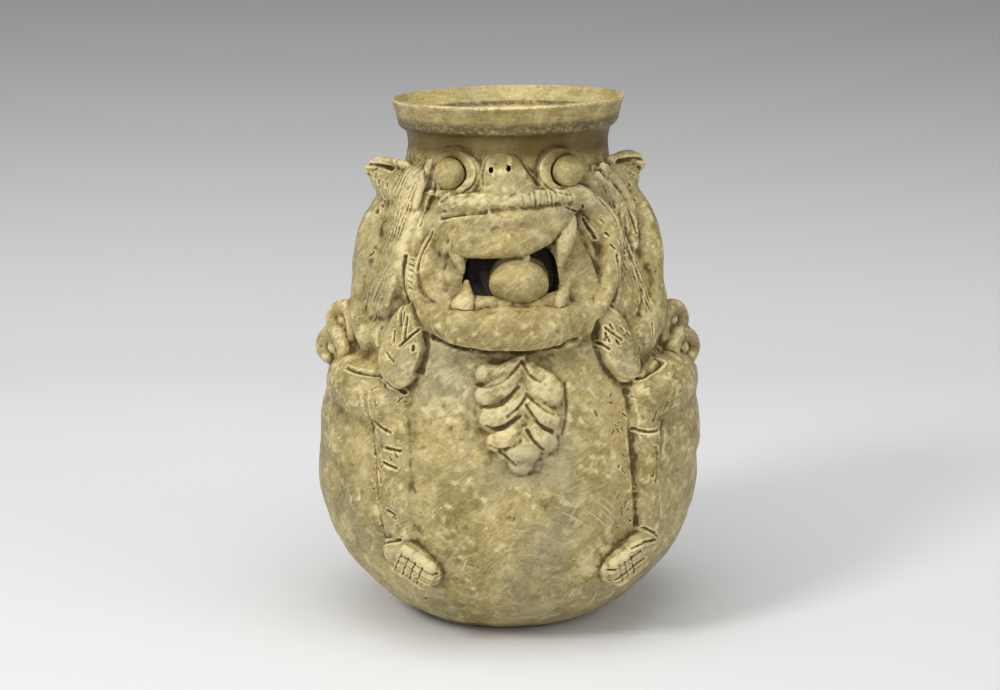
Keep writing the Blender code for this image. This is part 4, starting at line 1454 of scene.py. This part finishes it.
@dataclass(frozen=True)
class AshGlaze:
    """Thin olive ash glaze over pale clay, worn on what stands out and gathered in what is cut in, with
    painted shade in the mouth's gap, in broad folds, under the jaw, on the neck, at the foot and down the
    right side.
    """

    name: str = "worn_ash_glaze"
    buff: Colour = (0.430, 0.340, 0.138, 1)
    olive: Colour = (0.240, 0.190, 0.064, 1)
    cream: Colour = (0.700, 0.585, 0.305, 1)
    lining: Colour = (0.560, 0.450, 0.190, 1)
    ochre: Colour = (0.310, 0.208, 0.054, 1)
    brown: Colour = (0.245, 0.186, 0.070, 1)
    # Dark brown for heavy glaze and painted shade on the neck, and painted shade at the foot.
    dark_glaze_and_shade: Colour = (0.100, 0.060, 0.012, 1)
    # Near black: painted shade in the mouth's gap.
    dark: Colour = (0.016, 0.010, 0.005, 1)
    # Glaze gathered in cuts, and painted shade where the mouth's gap counts as recess.
    pooled_glaze_and_shade: Colour = (0.060, 0.042, 0.015, 1)
    smoke: Colour = (0.215, 0.207, 0.155, 1)
    stain_and_shade: Colour = (0.125, 0.084, 0.025, 1)
    pit: Colour = (0.040, 0.022, 0.008, 1)
    bare_clay: Colour = (0.210, 0.105, 0.050, 1)
    lighter: Colour = (1.28, 1.28, 1.26, 1)
    darker: Colour = (0.74, 0.74, 0.70, 1)
    faded: Colour = (0.84, 0.83, 0.78, 1)
    roughness: float = 0.42
    sheen: float = 0.22
    relief_depth: float = 0.00055
    sway_scale: float = 18.0
    sway: float = 0.022
    wipes: tuple[tuple[float, float, float], ...] = (
        (12, 18, 0.9), (62, 22, 0.8), (104, 20, 0.7), (140, 18, 0.8))
    arc_middle: Place = (0.008, 0.038)
    wall: TurnedWall = TurnedWall()

    def material(self) -> bpy.types.Material:
        """Builds the glaze.

        Returns:
            The material.
        """
        bench = Bench(self.name)
        noise, place, z = bench.noise, bench.place, bench.z
        recess, raised, inside, fold = map(bench.reading, ("recess", "raised", "inside", "fold"))
        warped = bench.swayed(self.sway_scale, self.sway)

        mottle = noise(warped, 34, 7, 0.66, 0.6).ramp(0.34, 0.62)
        colour = bench.mix(mottle, self.olive, self.buff)
        # Painted shade: broad folds (the fold reading) turn ochre and darker, besides the random ochre
        # patches.
        ochre = noise(place, 27, 5, 0.65, 1.2).ramp(0.50, 0.78) * 0.4 + fold * 0.8
        colour = colour.mixed(inside * 0.8, self.lining).mixed(ochre.held(), self.ochre)
        colour = colour.mixed(fold * 0.5, self.stain_and_shade)

        # Painted shade: the right side, away from the key light, and the patches of heavy glaze and shade
        # turn browner.
        turned = bench.x.ramp(0.015, 0.095) * 0.5
        band = (z.ramp(0.260, 0.263) * (0.4 - inside)).held()
        thick_glaze_and_shade = (bench.reading("thick_glaze_and_shade") * 0.9).most(turned).most(band)
        uneven = noise(warped, 115, 6, 0.72, 0.4).ramp(0.36, 0.58)
        colour = colour.mixed(thick_glaze_and_shade * (0.35 + uneven * 0.8), self.brown)

        thrown = z.ramp(0.262, 0.268)
        flat = bench.vector(bench.x * 0.1, bench.y * 0.1, z)
        brushed = bench.add("Mix", {
            "Factor": thrown, "A": noise(warped.drawn_out(40, 7), 1000, 6, 0.7),
            "B": noise(flat, 900, 6, 0.7)}, data_type="FLOAT")
        tone = brushed * 0.55 + noise(place, 620, 5, 0.75) * 0.45
        colour = colour.tinted(self.darker).mixed(tone.ramp(0.37, 0.63), colour.tinted(self.lighter))
        patches = noise(warped, 260, 5, 0.7, 0.4).ramp(0.44, 0.56)
        colour = colour.tinted(self.faded).mixed(patches, colour)
        colour = colour.mixed(noise(place, 75, 6, 0.7, 0.5).ramp(0.46, 0.68) * 0.45, self.cream)

        wiped = self.wiped(bench, warped) * (1.0 - thrown)
        colour = colour.mixed(wiped * 0.75, self.cream)
        rub = noise(place, 170, 6, 0.72)
        uneven = (brushed - 0.5) * 3.2 + (rub - 0.5) * 0.8
        worn = (raised * (1.0 + uneven)).ramp(0.05, 0.72)
        colour = colour.mixed(worn * 0.9, self.cream)

        colour = colour.mixed(noise(warped, 62, 5, 0.7, 0.8).ramp(0.54, 0.76) * 0.45, self.smoke)
        colour = colour.mixed(noise(place, 15, 4, 0.6, 0.6).ramp(0.48, 0.68) * 0.4, self.smoke)
        # Painted shade with heavy dark glaze on the neck under the rim's band.
        colour = colour.mixed(self.neck_glaze_and_shade(bench, inside), self.dark_glaze_and_shade)

        rough = noise(place, 430, 5, 0.7) - 0.5
        colour = colour.mixed((recess * (1.0 + rough * 2.5)).ramp(0.04, 0.6) * 0.8, self.stain_and_shade)
        pool = (recess * (1.0 + rough * 3.0)).ramp(0.45, 1.05)
        colour = colour.mixed(pool * 0.9, self.pooled_glaze_and_shade)
        pits = noise(place, 300, 3, 0.5).ramp(0.70, 0.74) * noise(place, 60, 3, 0.6).ramp(0.52, 0.62)
        # Painted shade: the mouth's gap (the gap reading) is painted near black.
        colour = colour.mixed(pits * 0.7, self.pit).mixed(bench.reading("gap"), self.dark)

        colour = colour.mixed(self.rim_lines(bench, rough, inside), self.pooled_glaze_and_shade)
        # Painted shade: the lowest 8 mm of the belly, where it curves under, darkens.
        colour = colour.mixed((1.0 - z.ramp(0.001, 0.008)) * 0.75, self.dark_glaze_and_shade)
        under = 1.0 - z.ramp(0.0004, 0.0022)
        colour = colour.mixed(under, self.bare_clay)

        gloss = (self.roughness + worn * 0.2 + (rub - 0.5) * 0.35 - pool * 0.1).held()
        relief = noise(place, 900, 4, 0.6) * 0.3 + rub * 0.35 + brushed * 0.5 + wiped * 0.5 - pits * 0.8
        bump = bench.add("Bump", {"Strength": 1.0, "Distance": self.relief_depth, "Height": relief})
        return bench.finish(
            Base_Color=colour, Roughness=(gloss + under * 0.4).held(), Normal=bump,
            Specular_IOR_Level=self.sheen)

    def wiped(self, bench: Bench, warped: Value) -> Value:
        """Lays the pale lines of a cloth or brush wiped round and across the jar.

        Args:
            bench: Where the nodes go.
            warped: The bent coordinates.

        Returns:
            How pale each place is.
        """
        lines = []
        for turn, stretch, share in self.wipes:
            line = bench.noise(warped.drawn_out(turn, stretch), 950, 5, 0.7).ramp(0.51, 0.66)
            lines.append(line * bench.noise(bench.place, 24 + turn * 0.05, 3, 0.5).ramp(0.44, 0.64) * share)
        total = lines[0]
        for line in lines[1:]:
            total = total.most(line)
        return (total * 0.65).most(self.arcs(bench))

    def arcs(self, bench: Bench) -> Value:
        """Lays the long pale arcs that the wiping hand left across the belly.

        Args:
            bench: Where the nodes go.

        Returns:
            How pale each place is.
        """
        middle_x, middle_z = self.arc_middle
        across = bench.x - middle_x
        up = bench.z - middle_z
        reach = bench.maths("SQRT", across * across + up * up)
        turn = bench.maths("ARCTAN2", up, across)
        line = bench.noise(bench.vector(reach, turn * 0.0022, 0.0), 780, 4, 0.6, 0.15).ramp(0.52, 0.63)
        patch = bench.noise(bench.place, 26, 3, 0.5).ramp(0.42, 0.6)
        front = (bench.y * -1.0).ramp(0.03, 0.06)
        return line * (reach.ramp(0.012, 0.022) * (1.0 - reach.ramp(0.052, 0.072)) * (patch * front))

    def neck_glaze_and_shade(self, bench: Bench, inside: Value) -> Value:
        """Darkens the neck under the rim's band, where the glaze ran heavy and painted shade stands for the
        band's overhang.

        Args:
            bench: Where the nodes go.
            inside: 1 inside the jar.

        Returns:
            How dark each place is.
        """
        neck = self.wall.neck_height
        foot = self.wall.height - self.wall.band_height
        above = 1.0 - bench.z.ramp(foot * MM, (foot + 3) * MM)
        band = bench.z.ramp((neck - 9) * MM, (neck - 1) * MM) * above
        patchy = bench.noise(bench.vector(bench.x, bench.y, 0.0), 22, 4, 0.6).ramp(0.32, 0.58)
        return band * (1.0 - inside) * (0.68 + patchy * 0.28)

    def rim_lines(self, bench: Bench, rough: Value, inside: Value) -> Value:
        """Lays the dark, mottled lines low on the rim's band and at the foot of the dished mouth.

        Args:
            bench: Where the nodes go.
            rough: Fine noise about nothing, which breaks the lines up.
            inside: 1 inside the jar.

        Returns:
            How dark each place is.
        """
        level = bench.z - bench.x * math.tan(math.radians(self.wall.rim_slope))
        reach = bench.maths("SQRT", bench.x * bench.x + bench.y * bench.y)
        lines = []
        for below_rim, narrow, wide, where in (
                (self.wall.band_height - 3.6, 1.0, 5.2, reach.ramp(0.0545, 0.0560)),
                (self.wall.dish_depth - self.wall.seat, 0.5, 1.8, inside)):
            away = bench.maths("ABSOLUTE", level - (self.wall.height - below_rim) * MM)
            lines.append((1.0 - away.ramp(narrow * MM, wide * MM)) * where)
        return lines[0].most(lines[1]) * (0.85 + rough * 3.0).held() * 0.85


@dataclass
class LionJar:
    """The whole jar: clay laid, joined, scored, cut, hollowed and glazed as one piece."""

    wall: TurnedWall = field(default_factory=TurnedWall)
    mass_grain: float = 1.2
    mass_settling: int = 7
    grain: float = 0.76
    settling: int = 4
    quick_grain: float = 1.6
    triangles: int = 157000
    turning_steps: int = 192
    hollow_steps: int = 88
    dents: int = 80
    sharp_angle: float = 62.0
    thrown_waves: tuple[tuple[float, float, int, int], ...] = ((0.4, 26.0, 11, 14), (0.1, 8.0, 12, 14))
    wiped_waves: tuple[tuple[float, float, int, int], ...] = ((0.07, 4.5, 71, 14), (0.05, 2.6, 72, 20))
    shading_rounds: tuple[int, int, int] = (3, 14, 60)
    cut_weights: tuple[float, float, float] = (3.0, 1.1, 0.25)
    proud_weights: tuple[float, float] = (2.6, 0.75)
    # Soft patches that add to the raised reading, so the left mane, left chest, beard, feet and brow top
    # turn paler cream: middle to the side and up, half width, half height and strength.
    paler_patches: tuple[Patch, ...] = (
        (-52, 222, 9, 26, 0.5), (-28, 142, 14, 20, 0.3), (5, 130, 20, 26, 0.15),
        (-48, 50, 16, 12, 0.35), (56, 50, 16, 12, 0.4), (0, 236, 36, 6, 0.2))

    def __post_init__(self) -> None:
        """Gathers the lion's parts."""
        self.mask, self.eyes = Mask(), Eyes()
        self.parts = [self.mask, self.eyes, Beard(), Back()]
        for side in Side:
            self.parts += [Ear(side), Mane(side), Arm(side), Leg(side), Wing(side)]

    def modified(self, target: bpy.types.Object, kind: str, **settings: object) -> None:
        """Gives an object one modifier and makes its result the object's mesh.

        Args:
            target: The object.
            kind: The modifier's type.
            settings: The modifier's properties.
        """
        modifier = target.modifiers.new(kind.lower(), kind)
        for name, value in settings.items():
            setattr(modifier, name, value)
        bpy.context.view_layer.update()
        result = bpy.data.meshes.new_from_object(target.evaluated_get(bpy.context.evaluated_depsgraph_get()))
        target.modifiers.clear()
        old = target.data
        target.data = result
        bpy.data.meshes.remove(old)

    def lute(self, target: bpy.types.Object, shape: Callable[[Clay], None], luting: Luting) -> None:
        """Lutes a shape on an object, or cuts it out.

        Args:
            target: The object.
            shape: What builds the shape in a lump of clay.
            luting: Which of the two.
        """
        clay = Clay(self.wall)
        shape(clay)
        other = clay.solid("tool")
        self.modified(target, "BOOLEAN", operation=luting.value, solver="MANIFOLD", object=other)
        bpy.data.objects.remove(other, do_unlink=True)

    def level(self, clay: Clay) -> None:
        """Shapes the block whose top is the level that the jar stands on."""
        made = bmesh.ops.create_cube(clay.mesh, size=4 * self.wall.base_radius)
        bmesh.ops.translate(clay.mesh, verts=made["verts"], vec=(0, 0, -2 * self.wall.base_radius))

    def hollow(self, clay: Clay) -> None:
        """Shapes the inside of the jar."""
        clay.spin(self.wall.inner_profile(), self.hollow_steps)

    def join(self) -> bpy.types.Object:
        """Lays all the clay and joins it into one skin: the soft masses first, then the crisp clay on them.

        Returns:
            The solid jar, not yet scored or hollow.
        """
        scale = MM * 1.0
        jar = None
        for name, coats, grain, settling in (
                ("masses", [part.lay for part in self.parts], self.mass_grain, self.mass_settling),
                ("glazed_lion_jar", [part.dress for part in self.parts], self.grain, self.settling)):
            clay = Clay(self.wall)
            if jar:
                clay.take(jar)
            clay.spin(self.wall.outer_profile(), self.turning_steps)
            for coat in coats:
                coat(clay)
            jar = clay.solid(name)
            self.modified(jar, "REMESH", mode="VOXEL", voxel_size=grain * scale)
            self.modified(jar, "SMOOTH", factor=0.5, iterations=settling)
        return jar

    def stray(self, skin: Skin, fields: Sequence[tuple[float, float, int, int]]) -> np.ndarray:
        """Adds up fields of waves, each with its height, size, seed and count."""
        return sum(height * waves(skin.points, *rest) for height, *rest in fields)

    def work(self, jar: bpy.types.Object) -> None:
        """Presses, scores and dents the skin.

        Args:
            jar: The joined jar.
        """
        skin = Skin(jar.data)
        below_rim = np.clip((self.wall.neck_height - skin.height) / 6, 0, 1) * np.clip(skin.height / 8, 0, 1)
        skin.push += below_rim * self.stray(skin, self.thrown_waves)
        self.mask.knead(skin)
        skin.settle()
        for part in self.parts:
            for stroke in part.strokes():
                skin.score(stroke)
        rng = np.random.default_rng(5)
        for _ in range(self.dents):
            azimuth, height = rng.uniform(-180, 180), rng.uniform(22, 150)
            path = ((azimuth, height), (azimuth + 0.01, height))
            skin.score(Stroke(path, rng.uniform(0.7, 1.3), rng.choice((-0.35, -0.25, 0.2, 0.3)), 0.12))
        skin.settle()
        skin.write()

    def roughen(self, jar: bpy.types.Object) -> None:
        """Leaves the finished surface slightly uneven, as wiped and fired clay is.

        Args:
            jar: The finished shape.
        """
        skin = Skin(jar.data)
        outward = np.einsum("ij,ij->i", skin.points[:, :2], skin.normals[:, :2]) > 0
        kept = np.clip(skin.height / 4, 0, 1) * outward
        kept *= np.clip((self.wall.height - 2 - skin.height) / 4, 0, 1)
        skin.push += kept * self.stray(skin, self.wiped_waves)
        skin.settle()
        skin.write()

    def depths(self, jar: bpy.types.Object, skin: Skin) -> list[np.ndarray]:
        """Finds how deep each point lies below the skin smoothed a little, more and most.

        Args:
            jar: The finished shape.
            skin: Its skin.

        Returns:
            Three depths for each point, below nothing where it stands out.
        """
        found = []
        for rounds in self.shading_rounds:
            eased = bpy.data.objects.new("eased", jar.data.copy())
            bpy.context.scene.collection.objects.link(eased)
            self.modified(eased, "SMOOTH", factor=0.6, iterations=rounds)
            found.append(np.einsum("ij,ij->i", Skin(eased.data).points - skin.points, skin.normals))
            bpy.data.objects.remove(eased, do_unlink=True)
        return found

    def shade(self, jar: bpy.types.Object) -> None:
        """Marks on each point how far it is cut in or stands out, and where painted shade goes in the
        mouth's gap and in broad folds, for the glaze to read.

        Args:
            jar: The finished shape.
        """
        skin = Skin(jar.data)
        points, front = skin.points, skin.points[:, 1] < 0
        depths = self.depths(jar, skin)
        cut = sum(weight * depth for weight, depth in zip(self.cut_weights, depths))
        proud = sum(weight * depth for weight, depth in zip(self.proud_weights, depths))
        stands = patched(np.zeros(len(points)), points, self.paler_patches) * front - proud
        inward = np.einsum("ij,ij->i", points[:, :2], skin.normals[:, :2]) < -0.2 * skin.reach
        above = skin.height > self.wall.neck_height
        walls = np.where(above, self.wall.rim_radius, self.wall.radii(skin.height))
        # The mouth's gap, painted near black as shade; it also counts fully as recess, so the recess colours
        # darken it too.
        gap = self.mask.painted_mouth_shade(points)
        covered = 1 - 0.5 * self.mask.round_mouth(points)
        inside = (inward & (skin.reach < walls + 0.5) & (gap < 0.5)).astype(np.float64)
        readings = {
            "recess": np.maximum(np.clip((cut - 0.22) / 0.78, 0, 1) * (1 - 0.85 * inside), gap),
            "raised": np.clip((stands - 0.15) / 0.75, 0, 1) * (1 - gap) * (1 - 0.7 * inside) * covered,
            # Painted shade in broad hollows, from the most smoothed depth.
            "fold": np.clip(depths[-1] * 0.75 - 0.05, 0, 1) * (1 - inside),
            # Heavy glaze, with painted shade under the jaw, under the brow and on the right arm.
            "thick_glaze_and_shade": self.mask.pooled_glaze_and_shade(points) * np.clip(1 - stands, 0.25, 1),
            "gap": gap,
            "inside": inside}
        for name, values in readings.items():
            layer = jar.data.attributes.new(name, "FLOAT", "POINT")
            layer.data.foreach_set("value", values.astype(np.float32))

    def build(self) -> bpy.types.Object:
        """Makes the finished jar.

        Returns:
            The jar, in its place in the frame.
        """
        jar = self.join()
        LOG.info("joined: %d faces", len(jar.data.polygons))
        self.work(jar)
        whole = sum(len(face.vertices) - 2 for face in jar.data.polygons)
        self.modified(jar, "DECIMATE", ratio=min(1.0, self.triangles / whole))
        LOG.info("thinned: %d faces", len(jar.data.polygons))
        for shape, luting in (
                (self.level, Luting.OUT), (self.mask.cut_mouth, Luting.OUT),
                (self.eyes.cut_nostrils, Luting.OUT), (self.mask.lay_fangs, Luting.ON),
                (self.mask.lay_ball, Luting.ON), (self.eyes.lay_balls, Luting.ON),
                (self.hollow, Luting.OUT)):
            self.lute(jar, shape, luting)
        self.roughen(jar)
        jar.data.name = jar.name
        jar.data.shade_smooth()
        jar.data.set_sharp_from_angle(angle=math.radians(self.sharp_angle))
        self.shade(jar)
        jar.data.materials.clear()
        jar.data.materials.append(AshGlaze().material())
        LOG.info("finished: %d triangles", sum(len(face.vertices) - 2 for face in jar.data.polygons))
        return jar


@dataclass
class Studio:
    """A pale sweep of paper, soft light from both sides and above, and the camera."""

    half_width: float = 3.0
    near: float = -2.2
    wall_at: float = 1.3
    curve_radius: float = 0.7
    curve_steps: int = 16
    wall_height: float = 2.0
    camera_distance: float = 1.25
    camera_height: float = 0.3985
    pitch: float = 11.45
    image_width: float = 1000.0
    focal_pixels: float = 2363.0
    middle_pixels: float = 508.0
    sensor: float = 36.0
    aim: tuple[float, float, float] = (0, 0, 0.15)
    lamps: tuple[tuple, ...] = (
        ("soft_light_left", (-0.95, -1.05, 1.15), 0.4, 13.5),
        ("soft_light_right", (1.2, -0.9, 0.75), 0.8, 4.5),
        ("front_card", (-0.1, -1.9, 0.4), 1.1, 4.5),
        ("overhead_light", (-0.1, -0.45, 1.45), 1.3, 10.5))
    room_colour: Colour = (0.97, 0.98, 1.0, 1)
    room_light: float = 0.46
    paper_front: Colour = (0.71, 0.71, 0.71, 1)
    paper_middle: Colour = (0.88, 0.88, 0.88, 1)
    # Painted shade: the paper's colour high on the backdrop.
    backdrop_shade: Colour = (0.205, 0.205, 0.205, 1)

    def sweep(self) -> None:
        """Makes the floor that curves up into the backdrop."""
        mesh = bmesh.new()
        start = self.wall_at - self.curve_radius
        profile = [(self.near, 0.0), (start, 0.0)]
        for step in range(1, self.curve_steps + 1):
            turn = math.pi / 2 * step / self.curve_steps
            along, up = math.sin(turn), 1 - math.cos(turn)
            profile.append((start + self.curve_radius * along, self.curve_radius * up))
        profile.append((self.wall_at, self.wall_height))
        chain = [mesh.verts.new((-self.half_width, y, z)) for y, z in profile]
        edges = [mesh.edges.new(pair) for pair in zip(chain, chain[1:])]
        pulled = bmesh.ops.extrude_edge_only(mesh, edges=edges)
        moved = [item for item in pulled["geom"] if isinstance(item, bmesh.types.BMVert)]
        bmesh.ops.translate(mesh, verts=moved, vec=(2 * self.half_width, 0, 0))
        data = bpy.data.meshes.new("paper_sweep")
        mesh.to_mesh(data)
        mesh.free()
        data.shade_smooth()
        paper = bpy.data.objects.new("paper_sweep", data)
        bpy.context.scene.collection.objects.link(paper)
        data.materials.append(self.paper())

    def paper(self) -> bpy.types.Material:
        """Makes the paper, whose colour falls off to grey as it goes up: painted shade where the backdrop
        gets less light.

        Returns:
            The material.
        """
        bench = Bench("studio_paper")
        climb = bench.y + bench.z
        colour = bench.mix(climb.ramp(-0.4, 0.55), self.paper_front, self.paper_middle)
        return bench.finish(Base_Color=colour.mixed(climb.ramp(0.5, 1.7), self.backdrop_shade), Roughness=0.9)

    def lights(self) -> None:
        """Hangs the soft square lights, aimed at the jar, and sets the room's own dim light."""
        for name, place, size, power in self.lamps:
            data = bpy.data.lights.new(name, "AREA")
            data.size = size
            data.energy = power
            made = bpy.data.objects.new(name, data)
            bpy.context.scene.collection.objects.link(made)
            made.location = place
            made.rotation_mode = "QUATERNION"
            made.rotation_quaternion = (Vector(self.aim) - Vector(place)).to_track_quat("-Z", "Y")
        world = bpy.data.worlds.new("room")
        bpy.context.scene.world = world
        world.use_nodes = True
        background = world.node_tree.nodes["Background"]
        background.inputs[0].default_value = self.room_colour
        background.inputs[1].default_value = self.room_light

    def camera(self) -> None:
        """Places the camera at the photograph's viewing angle."""
        data = bpy.data.cameras.new("camera")
        data.sensor_width = self.sensor
        data.lens = self.focal_pixels / self.image_width * self.sensor
        data.shift_x = -(self.middle_pixels - self.image_width / 2) / self.image_width
        made = bpy.data.objects.new("camera", data)
        bpy.context.scene.collection.objects.link(made)
        made.location = (0, -self.camera_distance, self.camera_height)
        made.rotation_euler = (math.radians(90 - self.pitch), 0, 0)
        bpy.context.scene.camera = made


def main() -> None:
    """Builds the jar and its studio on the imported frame."""
    logging.basicConfig(level=logging.INFO)
    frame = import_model()
    bpy.context.scene.view_settings.view_transform = "Standard"
    studio = Studio()
    studio.camera()
    studio.lights()
    studio.sweep()
    jar = LionJar().build()
    node = next(iter(frame["nodes"]))
    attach(jar, "root")
    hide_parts(node)
    LOG.info("%s replaces %s", jar.name, node)


if __name__ == "__main__":
    main()
